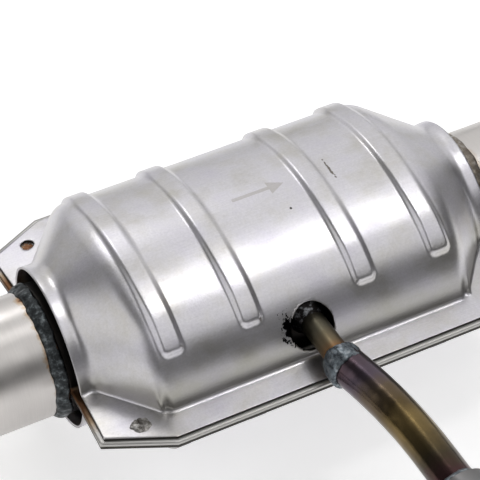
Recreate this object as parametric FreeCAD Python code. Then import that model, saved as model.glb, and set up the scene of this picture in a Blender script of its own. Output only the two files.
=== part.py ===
import FreeCAD
import Part

import math
import os

# Heat-shielded clamshell catalytic converter with a side air tube.
# All lengths are in millimetres. The shapes are drawn with X along the gas flow, zero at
# mid-length, Y across and Z up, and are shifted at export so that the frame's origin is
# the centre of the inlet pipe's mouth.

# ---- pipes ----
PIPE_R = 31.75            # outer radius of the 2.5 in exhaust pipe
PIPE_WALL = 1.6
PIPE_END_X = 190.0        # mouth of each pipe, from mid-length
PIPE_FIT = 0.1            # radial slip between the pipe and the can's neck

# ---- heat shield ----
SHIELD_W = 72.2           # half width of the pressed body
SHIELD_H = 53.4           # height of the pressed body over the pipe axis
SHIELD_T = 1.2
SHIELD_END_X = 112.2      # rim of the collar around each pipe, from mid-length
COLLAR_R = 41.8           # outer radius of the collar
COLLAR_LENGTH = 6.7
CONE_LENGTH = 24.5        # length of each end cone between the body and the collar
SIDE_SHARE = 0.9          # radius of an oval's side over its height

# ---- pressed beads across the shield ----
BEAD_X = (30.2, 71.0)     # distances of the beads from mid-length, the same both ways
BEAD_WIDTH = 13.0
BEAD_RISE = 2.2
BEAD_FOOT_Z = 27.5        # height at which a bead stops on each side
BEAD_CORNER = 4.0
BEAD_SLOPE = 1.3          # size of the sloping edge around a bead

# ---- flanges ----
FLANGE_W = 86.5           # half width
FLANGE_CHAMFER = 30.9     # length of the chamfered corner along X
FLANGE_TIP_OUT = 1.2      # how far the chamfered corner stands out past the collar's rim
FLANGE_TIP_Y = 71.3
FLANGE_END_Y = 44.4       # where the flange's end turns level with the collar's rim
FLANGE_FILLET = 2.6       # bend between the shield's body and its flange
CAN_LIP = 2.5             # how far the can's flange stands out past the shield's

# ---- can ----
CAN_T = 1.6
CAN_GAP = 8.0             # air gap between the can and the shield
CAN_CONE_LENGTH = 23.0
NECK_LENGTH = 11.7        # round neck that holds the pipe
NECK_GRIP = 10.7          # how far the pipe goes into the neck

# ---- crease radii of the pressed shells ----
BODY_CREASE = 6.0
NECK_CREASE = 3.5

# ---- ceramic bricks and their mats ----
MAT_T = 4.5
BRICK_LENGTH = 62.0
BRICK_GAP = 26.0          # space between the two bricks, fed by the air tube
CELL_PITCH = 12.0
CELL_WALL = 2.0
MAT_SETBACK = 3.0         # how far a mat stops short of each end of its brick

# ---- air tube ----
AIR_X = 0.5               # axis of the stub
AIR_Z = 17.5
STUB_R = 6.35
STUB_WALL = 1.2
STUB_IN = 2.0             # how far the stub stands inside the can
STUB_END_Y = 99.0
TUBE_R = 9.525
TUBE_WALL = 1.5
TUBE_START_Y = 94.0
TUBE_BEND_R = 300.0
TUBE_BEND_ANGLE = 13.5
TUBE_TAIL = 38.0          # straight length after the bend
SLEEVE_R = 13.5
SLEEVE_LAP = 12.0         # how far the tube goes into the sleeve, up to its step
SLEEVE_MOUTH_R = 11.0     # bore of the free end
SLEEVE_MOUTH_LENGTH = 16.0
SLEEVE_FIT = 0.1
SHIELD_HOLE_R = 11.2
SHIELD_HOLE_X = -1.7
SHIELD_HOLE_Z = 19.2

# ---- welds ----
PIPE_WELD_WIDTH = 6.5
PIPE_WELD_RISE = 4.0
PIPE_WELD_BELLY = 0.8     # height of the weld at the middle of its width, as a share of its rise
BOSS_WELD_LEG = 4.6
JOINT_WELD_WIDTH = 9.0
JOINT_WELD_RISE = 0.9
JOINT_WELD_SLOPE = 2.0    # length of each sloping end of the collar weld
SLEEVE_WELD_LEG = 3.6
SLEEVE_WELD_BELLY = 0.75  # height at half its length, as a share of its leg
PLUG_X = 94.5
PLUG_Y = 71.5
PLUG_R = 3.1
PLUG_RISE = 1.1
SUNK_PLUG_DEPTH = 0.7     # the one plug that stays below its hole's rim

# ---- sizes that follow ----
SHIELD_Z = CAN_T                              # underside of the upper shield's flange
CAN_W = SHIELD_W - SHIELD_T - CAN_GAP
CAN_H = SHIELD_H - SHIELD_T - CAN_GAP
NECK_R = PIPE_R + PIPE_FIT + CAN_T
COLLAR_X = SHIELD_END_X - COLLAR_LENGTH       # where the shield's cone meets its collar
SHIELD_STRAIGHT = COLLAR_X - CONE_LENGTH      # half length of the shield's oval body
FLANGE_TIP_X = SHIELD_END_X + FLANGE_TIP_OUT
FLANGE_SIDE_X = FLANGE_TIP_X - FLANGE_CHAMFER
NECK_END_X = SHIELD_END_X + CAN_LIP           # the neck ends flush with the can's flange
NECK_X = NECK_END_X - NECK_LENGTH
CAN_STRAIGHT = NECK_X - CAN_CONE_LENGTH
BRICK_W = CAN_W - CAN_T - MAT_T
BRICK_H = CAN_H - CAN_T - MAT_T
PIPE_IN_X = NECK_END_X - NECK_GRIP
FAR = 2 * PIPE_END_X                          # longer than any piece
SAME = 1e-4                                   # heights closer than this are the same
CLOSE = 1e-3                                  # a place this near a surface lies on it

X_AXIS = FreeCAD.Vector(1, 0, 0)
Y_AXIS = FreeCAD.Vector(0, 1, 0)
Z_AXIS = FreeCAD.Vector(0, 0, 1)
ORIGIN = FreeCAD.Vector(0, 0, 0)


def point(x, y, z):
    return FreeCAD.Vector(x, y, z)


def four_arcs(x, crown, side, split):
    """Closed wire of four tangent arcs at X = x. crown and side are (centre offset, radius)."""
    wire_edges = []
    arcs = (
        (0, crown[0], crown[1], split, math.pi - split),
        (-side[0], 0, side[1], math.pi - split, math.pi + split),
        (0, -crown[0], crown[1], math.pi + split, 2 * math.pi - split),
        (side[0], 0, side[1], -split, split),
    )
    for centre_y, centre_z, radius, start, end in arcs:
        ends = [
            point(x, centre_y + radius * math.cos(a), centre_z + radius * math.sin(a))
            for a in (start, (start + end) / 2, end)
        ]
        wire_edges.append(Part.Arc(*ends).toShape())
    return Part.Wire(wire_edges)


def oval_numbers(half_w, half_h):
    """Crown and side arcs of an oval, and the angle at which they meet."""
    side_r = SIDE_SHARE * half_h
    side_y = half_w - side_r
    crown_r = (side_y ** 2 + half_h ** 2 - side_r ** 2) / (2 * (half_h - side_r))
    crown_z = half_h - crown_r
    split = math.atan2(-crown_z, side_y)
    return (crown_z, crown_r), (side_y, side_r), split


def oval_wire(x, half_w, half_h, inset):
    crown, side, split = oval_numbers(half_w, half_h)
    return four_arcs(x, (crown[0], crown[1] - inset), (side[0], side[1] - inset), split)


def ring_wire(x, radius, split):
    return four_arcs(x, (0, radius), (0, radius), split)


def middle_of(edge):
    return edge.valueAt((edge.FirstParameter + edge.LastParameter) / 2)


def disc(wire, length):
    return Part.Face(wire).extrude(point(length, 0, 0))


def flat_edges(shape, x):
    """The edges of a shape that lie in the plane X = x."""
    found = []
    for edge in shape.Edges:
        box = edge.BoundBox
        if abs(box.XMin - x) < SAME and abs(box.XMax - x) < SAME:
            found.append(edge)
    return found


def pressed_form(half_w, half_h, straight, throat_x, throat_r, end_x, inset):
    """Oval body with a cone and a round collar at each end, as one closed solid."""
    split = oval_numbers(half_w, half_h)[2]
    form = disc(oval_wire(-straight, half_w, half_h, inset), 2 * straight)
    for way in (-1, 1):
        wide = oval_wire(way * straight, half_w, half_h, inset)
        narrow = ring_wire(way * throat_x, throat_r - inset, split)
        cone = Part.makeLoft([wide, narrow], True, True)
        collar = disc(narrow, way * (end_x - throat_x))
        form = form.fuse([cone, collar])
    form = form.removeSplitter()
    form = form.makeFillet(BODY_CREASE - inset, flat_edges(form, straight) + flat_edges(form, -straight))
    throat = flat_edges(form, throat_x) + flat_edges(form, -throat_x)
    return form.makeFillet(NECK_CREASE + inset, throat)


def shield_form(inset, end_x):
    return pressed_form(SHIELD_W, SHIELD_H, SHIELD_STRAIGHT, COLLAR_X, COLLAR_R, end_x, inset)


def can_form(inset, end_x):
    return pressed_form(CAN_W, CAN_H, CAN_STRAIGHT, NECK_X, NECK_R, end_x, inset)


def slab(z_low, z_high):
    """A block that covers the whole part between two heights."""
    return Part.makeBox(2 * FAR, 2 * FAR, z_high - z_low, point(-FAR, -FAR, z_low))


def bead(x, inset):
    """One pressed bead: a band over the body with rounded corners and a sloping edge."""
    half = BEAD_WIDTH / 2 - inset
    foot = BEAD_FOOT_Z + inset
    band = Part.makeBox(2 * half, 2 * FAR, FAR, point(x - half, -FAR, foot))
    corners = [e for e in band.Edges if abs(e.BoundBox.ZMax - foot) < SAME and e.BoundBox.YLength > FAR]
    band = band.makeFillet(BEAD_CORNER - inset, corners)
    crown = disc(oval_wire(x - half, SHIELD_W, SHIELD_H, inset - BEAD_RISE), 2 * half)
    solid = band.common(crown)
    if inset:
        return solid
    rim = [edge for edge in solid.Edges if on_oval(middle_of(edge), -BEAD_RISE)]
    return solid.makeChamfer(BEAD_SLOPE, rim)


def on_oval(place, inset):
    """True when a place lies on the shield's oval, set in by the given amount."""
    face = Part.Face(oval_wire(place.x, SHIELD_W, SHIELD_H, inset))
    return face.OuterWire.distToShape(Part.Vertex(place))[0] < CLOSE


def flange_outline(grow):
    """The flange's outline in the plane Z = 0, as a face."""
    corners = []
    quarter = (
        (FLANGE_SIDE_X, FLANGE_W),
        (FLANGE_TIP_X, FLANGE_TIP_Y),
        (SHIELD_END_X, FLANGE_END_Y),
    )
    for x, y in quarter:
        corners.append(point(x, y, 0))
    for x, y in reversed(quarter):
        corners.append(point(x, -y, 0))
    for x, y in quarter:
        corners.append(point(-x, -y, 0))
    for x, y in reversed(quarter):
        corners.append(point(-x, y, 0))
    corners.append(corners[0])
    face = Part.Face(Part.makePolygon(corners))
    if grow:
        face = face.makeOffset2D(grow, 2)
    return face


def flange_plate(grow, z_low, thickness):
    face = flange_outline(grow)
    face.translate(point(0, 0, z_low))
    return face.extrude(point(0, 0, thickness))


def pressed_shell(outer, inner, grow, z_low, thickness):
    """Upper half of a pressed shell with its flange: the sheet between two closed forms."""
    above = slab(z_low, FAR)
    wall = outer.cut(inner).common(above)
    plate = flange_plate(grow, z_low, thickness).cut(inner)
    return wall.fuse(plate).removeSplitter()


def bend_edges(shell, z, form):
    """Edges at height z where a shell's flange meets the closed form of its body."""
    skin = form.Shells[0]
    found = []
    for edge in shell.Edges:
        box = edge.BoundBox
        flat = abs(box.ZMin - z) < SAME and abs(box.ZMax - z) < SAME
        if flat and skin.distToShape(Part.Vertex(middle_of(edge)))[0] < CLOSE:
            found.append(edge)
    return found


def make_shield():
    """Upper heat shield: beads, end cones, collars and the chamfered flange in one pressing."""
    form = shield_form(0, SHIELD_END_X)
    places = [way * x for x in BEAD_X for way in (-1, 1)]
    outer = form.fuse([bead(x, 0) for x in places])
    inner = shield_form(SHIELD_T, SHIELD_END_X + SHIELD_T).fuse([bead(x, SHIELD_T) for x in places])
    shell = pressed_shell(outer, inner, 0, SHIELD_Z, SHIELD_T)
    shell = shell.makeFillet(FLANGE_FILLET, bend_edges(shell, SHIELD_Z + SHIELD_T, form))
    for way_x in (-1, 1):
        for way_y in (-1, 1):
            spot = point(way_x * PLUG_X, way_y * PLUG_Y, SHIELD_Z - 1)
            shell = shell.cut(Part.makeCylinder(PLUG_R, SHIELD_T + 2, spot, Z_AXIS))
    return shell


def make_can_half():
    """Upper half of the can, with the flange that stands out past the shield's."""
    outer = can_form(0, NECK_END_X)
    inner = can_form(CAN_T, NECK_END_X + CAN_T)
    return pressed_shell(outer, inner, CAN_LIP, 0, CAN_T)


def mirrored(shape):
    return shape.mirror(ORIGIN, Z_AXIS)


def cylinder_out(radius, x, z, start_y, end_y):
    """Cylinder along -Y between two distances from the middle plane."""
    return Part.makeCylinder(radius, end_y - start_y, point(x, -start_y, z), -Y_AXIS)


def make_pipe(way):
    outer = Part.makeCylinder(PIPE_R, PIPE_END_X - PIPE_IN_X, point(way * PIPE_IN_X, 0, 0), way * X_AXIS)
    bore = Part.makeCylinder(PIPE_R - PIPE_WALL, PIPE_END_X, ORIGIN, way * X_AXIS)
    return outer.cut(bore)


def turned(points, axis_point, axis):
    """Solid of revolution from a closed outline whose sides are straight."""
    outline = [point(*p) for p in points]
    face = Part.Face(Part.makePolygon(outline + [outline[0]]))
    return face.revolve(axis_point, axis, 360)


def make_pipe_weld(way):
    """Fillet weld between the end of the can's neck and the pipe."""
    start = way * NECK_END_X
    far = way * (NECK_END_X + PIPE_WELD_WIDTH)
    mid = way * (NECK_END_X + PIPE_WELD_WIDTH / 2)
    top = PIPE_R + PIPE_WELD_RISE
    outline = (
        (start, 0, PIPE_R),
        (start, 0, top),
        (mid, 0, PIPE_R + PIPE_WELD_BELLY * PIPE_WELD_RISE),
        (far, 0, PIPE_R),
    )
    return turned(outline, ORIGIN, X_AXIS)


def make_brick(way):
    """Oval ceramic brick with square cells right through it."""
    start = BRICK_GAP / 2 if way > 0 else -BRICK_GAP / 2 - BRICK_LENGTH
    brick = disc(oval_wire(start, BRICK_W, BRICK_H, 0), BRICK_LENGTH)
    limit = Part.Face(oval_wire(start, BRICK_W, BRICK_H, CELL_WALL))
    cell = CELL_PITCH - CELL_WALL
    columns = int(BRICK_W // CELL_PITCH)
    rows = int(BRICK_H // CELL_PITCH)
    cells = []
    for column in range(-columns, columns + 1):
        for row in range(-rows, rows + 1):
            y = column * CELL_PITCH
            z = row * CELL_PITCH
            tips = [(y + a * cell / 2, z + b * cell / 2) for a in (-1, 1) for b in (-1, 1)]
            if all(limit.isInside(point(start, *tip), CLOSE, True) for tip in tips):
                corner = point(start - 1, y - cell / 2, z - cell / 2)
                cells.append(Part.makeBox(BRICK_LENGTH + 2, cell, cell, corner))
    return brick.cut(cells)


def make_mat(way):
    """Fibre mat that grips a brick inside the can."""
    length = BRICK_LENGTH - 2 * MAT_SETBACK
    near = BRICK_GAP / 2 + MAT_SETBACK
    start = near if way > 0 else -near - length
    outer = disc(oval_wire(start, CAN_W, CAN_H, CAN_T), length)
    return outer.cut(disc(oval_wire(start, BRICK_W, BRICK_H, 0), length))


def make_stub():
    """Short tube through the can's side, cut square at both ends."""
    wall_y = can_side_y(AIR_Z)
    start = wall_y - CAN_T - STUB_IN
    outer = cylinder_out(STUB_R, AIR_X, AIR_Z, start, STUB_END_Y)
    bore = cylinder_out(STUB_R - STUB_WALL, AIR_X, AIR_Z, start - 1, STUB_END_Y + 1)
    return outer.cut(bore)


def can_side_y(z):
    """Half width of the can's outside at height z, on the oval's side arc."""
    side_y, side_r = oval_numbers(CAN_W, CAN_H)[1]
    return side_y + math.sqrt(side_r ** 2 - z ** 2)


def make_boss_weld(can_solid):
    """Weld around the foot of the stub, following the can's curve."""
    base_y = can_side_y(AIR_Z)
    cone = Part.makeCone(
        STUB_R + 2 * BOSS_WELD_LEG,
        STUB_R,
        2 * BOSS_WELD_LEG,
        point(AIR_X, BOSS_WELD_LEG - base_y, AIR_Z),
        -Y_AXIS,
    )
    ring = cone.cut(cylinder_out(STUB_R, AIR_X, AIR_Z, 0, FAR))
    return ring.cut(can_solid)


def tube_axis():
    """Start point, heading and bend centre of the air tube's centre line."""
    start = point(AIR_X, -TUBE_START_Y, AIR_Z)
    angle = math.radians(TUBE_BEND_ANGLE)
    heading = point(math.sin(angle), -math.cos(angle), 0)
    centre = start + TUBE_BEND_R * point(-math.cos(angle), -math.sin(angle), 0)
    return start, heading, centre


def tube_end():
    """Where the bend stops and the straight tail begins."""
    centre = tube_axis()[2]
    return centre + point(TUBE_BEND_R, 0, 0)


def bent_rod(radius):
    """Solid rod along the air tube's centre line."""
    start, heading, centre = tube_axis()
    face = Part.Face(Part.Wire(Part.makeCircle(radius, start, heading)))
    bend = face.revolve(centre, -Z_AXIS, TUBE_BEND_ANGLE)
    tail = Part.makeCylinder(radius, TUBE_TAIL, tube_end(), -Y_AXIS)
    return bend.fuse(tail).removeSplitter()


def make_air_tube():
    return bent_rod(TUBE_R).cut(bent_rod(TUBE_R - TUBE_WALL))


def sleeve_start():
    """Distance from the middle plane to the sleeve's welded end."""
    return TUBE_TAIL - SLEEVE_LAP - tube_end().y


def make_sleeve():
    """Plain coupling sleeve: the air tube stands in one end, and the other end is wider."""
    end_x = tube_end().x
    start = sleeve_start()
    step = start + SLEEVE_LAP
    mouth = step + SLEEVE_MOUTH_LENGTH
    body = cylinder_out(SLEEVE_R, end_x, AIR_Z, start, mouth)
    socket = cylinder_out(TUBE_R + SLEEVE_FIT, end_x, AIR_Z, start - 1, step)
    bore = cylinder_out(SLEEVE_MOUTH_R, end_x, AIR_Z, step, mouth + 1)
    return body.cut(socket.fuse(bore))


def make_joint_weld():
    """Collar weld that closes the step from the stub to the wider tube."""
    first = TUBE_START_Y - JOINT_WELD_WIDTH / 2
    last = TUBE_START_Y + JOINT_WELD_WIDTH / 2
    top = TUBE_R + JOINT_WELD_RISE
    outline = (
        (AIR_X, -first, AIR_Z + STUB_R),
        (AIR_X, -first - JOINT_WELD_SLOPE, AIR_Z + TUBE_R),
        (AIR_X, -TUBE_START_Y, AIR_Z + top),
        (AIR_X, -last + JOINT_WELD_SLOPE, AIR_Z + top),
        (AIR_X, -last, AIR_Z + TUBE_R),
        (AIR_X, -last, AIR_Z + STUB_R),
    )
    ring = turned(outline, point(AIR_X, 0, AIR_Z), Y_AXIS)
    return ring.cut(bent_rod(TUBE_R))


def make_sleeve_weld():
    """Fillet weld between the air tube and the end of the sleeve."""
    end = tube_end()
    face_y = -sleeve_start()
    outline = (
        (end.x, face_y, AIR_Z + TUBE_R),
        (end.x, face_y, AIR_Z + TUBE_R + SLEEVE_WELD_LEG),
        (end.x, face_y + SLEEVE_WELD_LEG / 2, AIR_Z + TUBE_R + SLEEVE_WELD_BELLY * SLEEVE_WELD_LEG),
        (end.x, face_y + SLEEVE_WELD_LEG, AIR_Z + TUBE_R),
    )
    return turned(outline, point(end.x, 0, AIR_Z), Y_AXIS).cut(bent_rod(TUBE_R))


def plug(x, y, rise):
    """Weld metal in one plug hole, standing on the can's flange."""
    height = SHIELD_T + rise
    if rise < 0:
        return Part.makeCylinder(PLUG_R, height, point(x, y, SHIELD_Z), Z_AXIS)
    dome_r = (PLUG_R ** 2 + rise ** 2) / (2 * rise)
    centre = point(x, y, SHIELD_Z + SHIELD_T + rise - dome_r)
    post = Part.makeCylinder(PLUG_R, height, point(x, y, SHIELD_Z), Z_AXIS)
    return post.common(Part.makeSphere(dome_r, centre))


def make_plugs(sunk_corner):
    """Four plug welds as one group. One corner may be left sunk in its hole."""
    plugs = []
    for way_x in (-1, 1):
        for way_y in (-1, 1):
            rise = -SUNK_PLUG_DEPTH if (way_x, way_y) == sunk_corner else PLUG_RISE
            plugs.append(plug(way_x * PLUG_X, way_y * PLUG_Y, rise))
    return Part.makeCompound(plugs)


def build():
    shield = make_shield()
    can_half = make_can_half()
    can_solid = can_form(0, NECK_END_X)
    shield_hole = cylinder_out(SHIELD_HOLE_R, SHIELD_HOLE_X, SHIELD_HOLE_Z, CAN_W / 2, FAR)
    can_hole = cylinder_out(STUB_R, AIR_X, AIR_Z, CAN_W / 2, FAR)
    return {
        "upper_heat_shield": shield.cut(shield_hole),
        "lower_heat_shield": mirrored(shield),
        "can_upper_half": can_half.cut(can_hole),
        "can_lower_half": mirrored(can_half),
        "front_brick": make_brick(-1),
        "rear_brick": make_brick(1),
        "front_mat": make_mat(-1),
        "rear_mat": make_mat(1),
        "inlet_pipe": make_pipe(-1),
        "outlet_pipe": make_pipe(1),
        "inlet_pipe_weld": make_pipe_weld(-1),
        "outlet_pipe_weld": make_pipe_weld(1),
        "air_stub": make_stub(),
        "air_tube": make_air_tube(),
        "air_tube_sleeve": make_sleeve(),
        "air_boss_weld": make_boss_weld(can_solid),
        "air_joint_weld": make_joint_weld(),
        "air_sleeve_weld": make_sleeve_weld(),
        "upper_plug_welds": make_plugs((-1, 1)),
        "lower_plug_welds": mirrored(make_plugs(None)),
    }


def main():
    os.makedirs("parts", exist_ok=True)
    for name, shape in build().items():
        shape.translate(point(PIPE_END_X, 0, 0))
        shape.exportStep(os.path.join("parts", name + ".step"))


if __name__ == "__main__":
    main()
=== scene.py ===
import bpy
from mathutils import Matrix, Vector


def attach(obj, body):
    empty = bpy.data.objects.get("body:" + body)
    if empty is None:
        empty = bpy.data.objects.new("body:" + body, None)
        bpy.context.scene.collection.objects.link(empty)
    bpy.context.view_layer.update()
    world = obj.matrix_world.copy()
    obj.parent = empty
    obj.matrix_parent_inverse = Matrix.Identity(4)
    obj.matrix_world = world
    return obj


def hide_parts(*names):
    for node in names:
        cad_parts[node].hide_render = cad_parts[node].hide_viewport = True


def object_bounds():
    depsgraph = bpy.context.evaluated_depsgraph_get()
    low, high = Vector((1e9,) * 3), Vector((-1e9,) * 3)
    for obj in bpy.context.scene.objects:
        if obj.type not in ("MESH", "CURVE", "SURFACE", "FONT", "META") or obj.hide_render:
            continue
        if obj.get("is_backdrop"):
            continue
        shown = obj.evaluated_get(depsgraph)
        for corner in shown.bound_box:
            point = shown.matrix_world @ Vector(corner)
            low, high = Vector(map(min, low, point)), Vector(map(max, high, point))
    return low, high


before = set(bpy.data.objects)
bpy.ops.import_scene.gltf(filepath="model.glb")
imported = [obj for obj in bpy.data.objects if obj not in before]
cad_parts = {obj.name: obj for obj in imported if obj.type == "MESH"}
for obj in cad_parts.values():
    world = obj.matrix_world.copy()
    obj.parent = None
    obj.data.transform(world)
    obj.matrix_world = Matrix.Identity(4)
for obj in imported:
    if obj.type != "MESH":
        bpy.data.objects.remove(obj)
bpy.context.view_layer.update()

import math

import bmesh
import bpy
import numpy as np
from bpy.props import FloatProperty, FloatVectorProperty, PointerProperty
from mathutils import Matrix, Vector, noise

bl_info = {
    "name": "Catalytic converter",
    "version": (1, 0, 0),
    "blender": (4, 5, 0),
    "location": "3D View > Sidebar > Converter",
    "description": "Dresses the heat-shielded catalytic converter with its pressed sheets, pipes and welds",
    "category": "Object",
}

MM = 0.001
BODY = "root"
SEAM_GAP = 0.00012  # between the can's two halves
FLANGE_ROWS, BEND_ROWS, SIDE_ROWS, CROWN_ROWS = 24, 6, 38, 50  # across a pressed half
ROUND_BODY, ROUND_THROAT = 0.0042, 0.0026  # how far the cone's two bends are rounded each way
MATH, VECTOR_MATH = "ShaderNodeMath", "ShaderNodeVectorMath"
NOISE, MAP_RANGE = "ShaderNodeTexNoise", "ShaderNodeMapRange"
NOISE_SPAN = {"From Min": 0.3, "From Max": 0.7}  # where most of a noise texture's values lie


# ---------------------------------------------------------------- settings


def length(label, text, millimetres):
    """A length property, with its default given in millimetres."""
    return FloatProperty(
        name=label, description=text, default=millimetres * MM, precision=5, unit="LENGTH",
        subtype="DISTANCE",
    )


def angle(label, text, degrees):
    """An angle property, with its default given in degrees."""
    return FloatProperty(
        name=label, description=text, default=math.radians(degrees), subtype="ANGLE", unit="ROTATION",
    )


def colour(label, text, hex_code):
    """A colour property, with its default given as an sRGB hex code."""
    return FloatVectorProperty(
        name=label, description=text, default=linear(hex_code), size=4, min=0, max=1, subtype="COLOR",
    )


def linear(hex_code):
    """An sRGB hex code as a linear RGBA colour."""
    parts = [int(hex_code[i : i + 2], 16) / 255 for i in (1, 3, 5)]
    return tuple(p / 12.92 if p <= 0.04045 else ((p + 0.055) / 1.055) ** 2.4 for p in parts) + (1.0,)


class ConverterShieldSizes(bpy.types.PropertyGroup):
    middle: length("Middle", "Distance from the inlet's mouth to the middle of the part", 190)
    half_width: length("Half width", "Half width of the pressed body", 72.2)
    height: length("Height", "Height of the body over the pipe's axis", 53.4)
    side_share: FloatProperty(
        name="Side share", description="Radius of the oval's side over its height", default=0.9, min=0.5,
        max=0.98,
    )
    straight: length("Straight", "Half length of the oval body", 81)
    throat: length("Throat", "Where the cone meets the collar", 105.5)
    end: length("End", "Rim of the collar", 112.2)
    collar_radius: length("Collar radius", "Outer radius of the collar's rim", 41.8)
    sheet: length("Sheet", "Thickness of the pressed sheet", 1.2)
    flange_top: length("Flange top", "Height of the flange's upper face", 2.8)
    flange_droop: length("Flange droop", "How much lower the flange's edge lies than its bend", 1.2)
    flange_half_width: length("Flange half width", "Half width of the flange", 86.5)
    flange_side: length("Flange side", "Half length of the flange's straight side", 82.5)
    flange_tip_x: length("Tip along", "How far the chamfered corner reaches along the part", 113.4)
    flange_tip_y: length("Tip across", "Where the chamfer ends across the part", 71.3)
    flange_end_y: length("End across", "Where the flange's end turns level with the collar's rim", 44.4)
    flange_bend: length("Flange bend", "Bend radius between body and flange", 1.8)
    bead_inner: length("Inner bead", "Distance of the inner beads from the middle", 30.2)
    bead_outer: length("Outer bead", "Distance of the outer beads from the middle", 71.0)
    bead_width: length("Bead width", "Width of a pressed bead", 13)
    bead_rise: length("Bead rise", "How far a bead stands out", 2.2)
    bead_foot: length("Bead foot", "Height at which a bead stops", 29)
    bead_corner: length("Bead corner", "Corner radius of a bead's foot", 4)
    hole_radius: length("Hole radius", "Radius of the side hole for the air stub", 11.2)
    hole_x: length("Hole along", "Place of the side hole along the part", -1.7)
    hole_z: length("Hole height", "Height of the side hole", 19.2)
    plug_x: length("Plug along", "Distance of the plug welds from the middle along the part", 94.5)
    plug_y: length("Plug across", "Distance of the plug welds from the middle across the part", 71.5)
    plug_reach: length("Plug reach", "Radius of a raised plug weld", 5.4)
    plug_sunk: length("Sunk plug", "Radius of the sunk plug weld and of its hole", 3.6)


class ConverterCanSizes(bpy.types.PropertyGroup):
    half_width: length("Half width", "Half width of the can", 63)
    height: length("Height", "Height of the can over the pipe's axis", 44.2)
    straight: length("Straight", "Half length of the can's oval body", 80)
    throat: length("Throat", "Where the cone meets the neck", 103)
    end: length("End", "End of the neck", 114.7)
    neck_radius: length("Neck radius", "Outer radius of the neck", 33.45)
    sheet: length("Sheet", "Thickness of the can's sheet", 1.6)
    lip: length("Lip", "How far the can's flange stands out past the shield's", 2.5)
    brick_half_width: length("Brick half width", "Half width of the ceramic brick", 56.9)
    brick_height: length("Brick height", "Half height of the ceramic brick", 38.1)
    brick_start: length("Brick start", "Distance of a brick's inner face from the middle", 13)
    brick_length: length("Brick length", "Length of a brick", 62)
    cell_pitch: length(
        "Cell pitch", "Pitch of the brick's cells, drawn coarser than a real brick's 1.3 mm", 2.4,
    )


class ConverterPipeSizes(bpy.types.PropertyGroup):
    radius: length("Radius", "Outer radius of the exhaust pipe", 31.75)
    wall: length("Wall", "Wall of the exhaust pipe", 1.6)
    start: length("Start", "Where the pipe begins inside the neck", 104)
    weld_width: length("Weld width", "Width of the weld between neck and pipe", 6.5)
    weld_rise: length("Weld rise", "Height of that weld over the pipe", 4)


class ConverterAirSizes(bpy.types.PropertyGroup):
    along: length("Along", "Place of the stub along the part", 0.5)
    height: length("Height", "Height of the stub's axis", 17.5)
    stub_radius: length("Stub radius", "Outer radius of the stub", 6.35)
    stub_wall: length("Stub wall", "Wall of the stub", 1.2)
    stub_start: length("Stub start", "Inner end of the stub", 58.3)
    stub_end: length("Stub end", "Outer end of the stub", 99)
    tube_radius: length("Tube radius", "Outer radius of the air tube", 9.525)
    tube_wall: length("Tube wall", "Wall of the air tube", 1.5)
    tube_start: length("Tube start", "Where the air tube begins", 94)
    bend_radius: length("Bend radius", "Radius of the air tube's bend", 300)
    bend: angle("Bend", "Angle of the air tube's bend", 13.5)
    tail: length("Tail", "Straight length after the bend", 38)
    sleeve_radius: length("Sleeve radius", "Outer radius of the coupling sleeve", 13.5)
    sleeve_lap: length("Sleeve lap", "How far the tube goes into the sleeve", 12)
    mouth_radius: length("Mouth radius", "Bore of the sleeve's free end", 11)
    mouth_length: length("Mouth length", "Length of that bore", 16)


class ConverterFinishes(bpy.types.PropertyGroup):
    shield: colour("Shield steel", "Satin rolled stainless sheet", "#CFCDD1")
    pipe: colour("Pipe steel", "Satin drawn tube", "#CDC9C6")
    pipe_weld: colour("Pipe weld", "Oxidised weld metal", "#3E4244")
    tube_dark: colour("Air tube, dark", "Purple-brown oxide of the hot tube", "#4E3C3D")
    tube_gold: colour("Air tube, gold", "Straw oxide of the hot tube", "#5E5038")
    weld_silver: colour("Bright weld", "Blue-grey weld metal", "#71797F")
    rust: colour("Rust", "Orange rust in the sunk plug", "#9C6844")
    ceramic: colour("Ceramic", "Cordierite brick", "#C9BFA8")


class ConverterStageSizes(bpy.types.PropertyGroup):
    azimuth: angle("Azimuth", "Camera's angle round the part", -23.13)
    elevation: angle("Elevation", "Camera's height angle", 41.98)
    roll: angle("Roll", "Camera's roll", -4.3)
    distance: length("Distance", "Camera's distance from the middle", 1110.84)
    side: length("Side step", "Camera's step to its left", 7.5)
    rise: length("Rise", "Camera's step down", -15.4)
    lens: FloatProperty(
        name="Lens", description="Focal length on a 36 mm sensor", default=165.96, subtype="DISTANCE_CAMERA",
    )
    floor: colour("Floor", "Plain pale floor", "#F2F2F2")


# ---------------------------------------------------------------- shared tools


def add(tree, kind, settings=None, links=None):
    """Adds one node. links gives an input a value, another node's socket, or a node for its first output."""
    made = tree.nodes.new(kind)
    for name, value in (settings or {}).items():
        if name == "stops":
            ramp = made.color_ramp.elements
            ramp[0].position, ramp[0].color = value[0]
            ramp[1].position, ramp[1].color = value[-1]
            for place, shade in value[1:-1]:
                ramp.new(place).color = shade
        else:
            setattr(made, name, value)
    for key, value in (links or {}).items():
        if isinstance(value, bpy.types.Node):
            value = value.outputs[0]
        if isinstance(value, bpy.types.NodeSocket):
            tree.links.new(value, made.inputs[key])
        else:
            made.inputs[key].default_value = value
    return made


def new_material(name):
    made = bpy.data.materials.new(name)
    made.use_nodes = True
    made.node_tree.nodes.clear()
    return made, made.node_tree


def finish(name, build, *values):
    """The finish of that name. On first use build makes its shader, from the places on the object."""
    found = bpy.data.materials.get(name)
    if found:
        return found
    made, tree = new_material(name)
    where = add(tree, "ShaderNodeTexCoord").outputs["Object"]
    add(tree, "ShaderNodeOutputMaterial", links={"Surface": build(tree, where, *values)})
    return made


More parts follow.
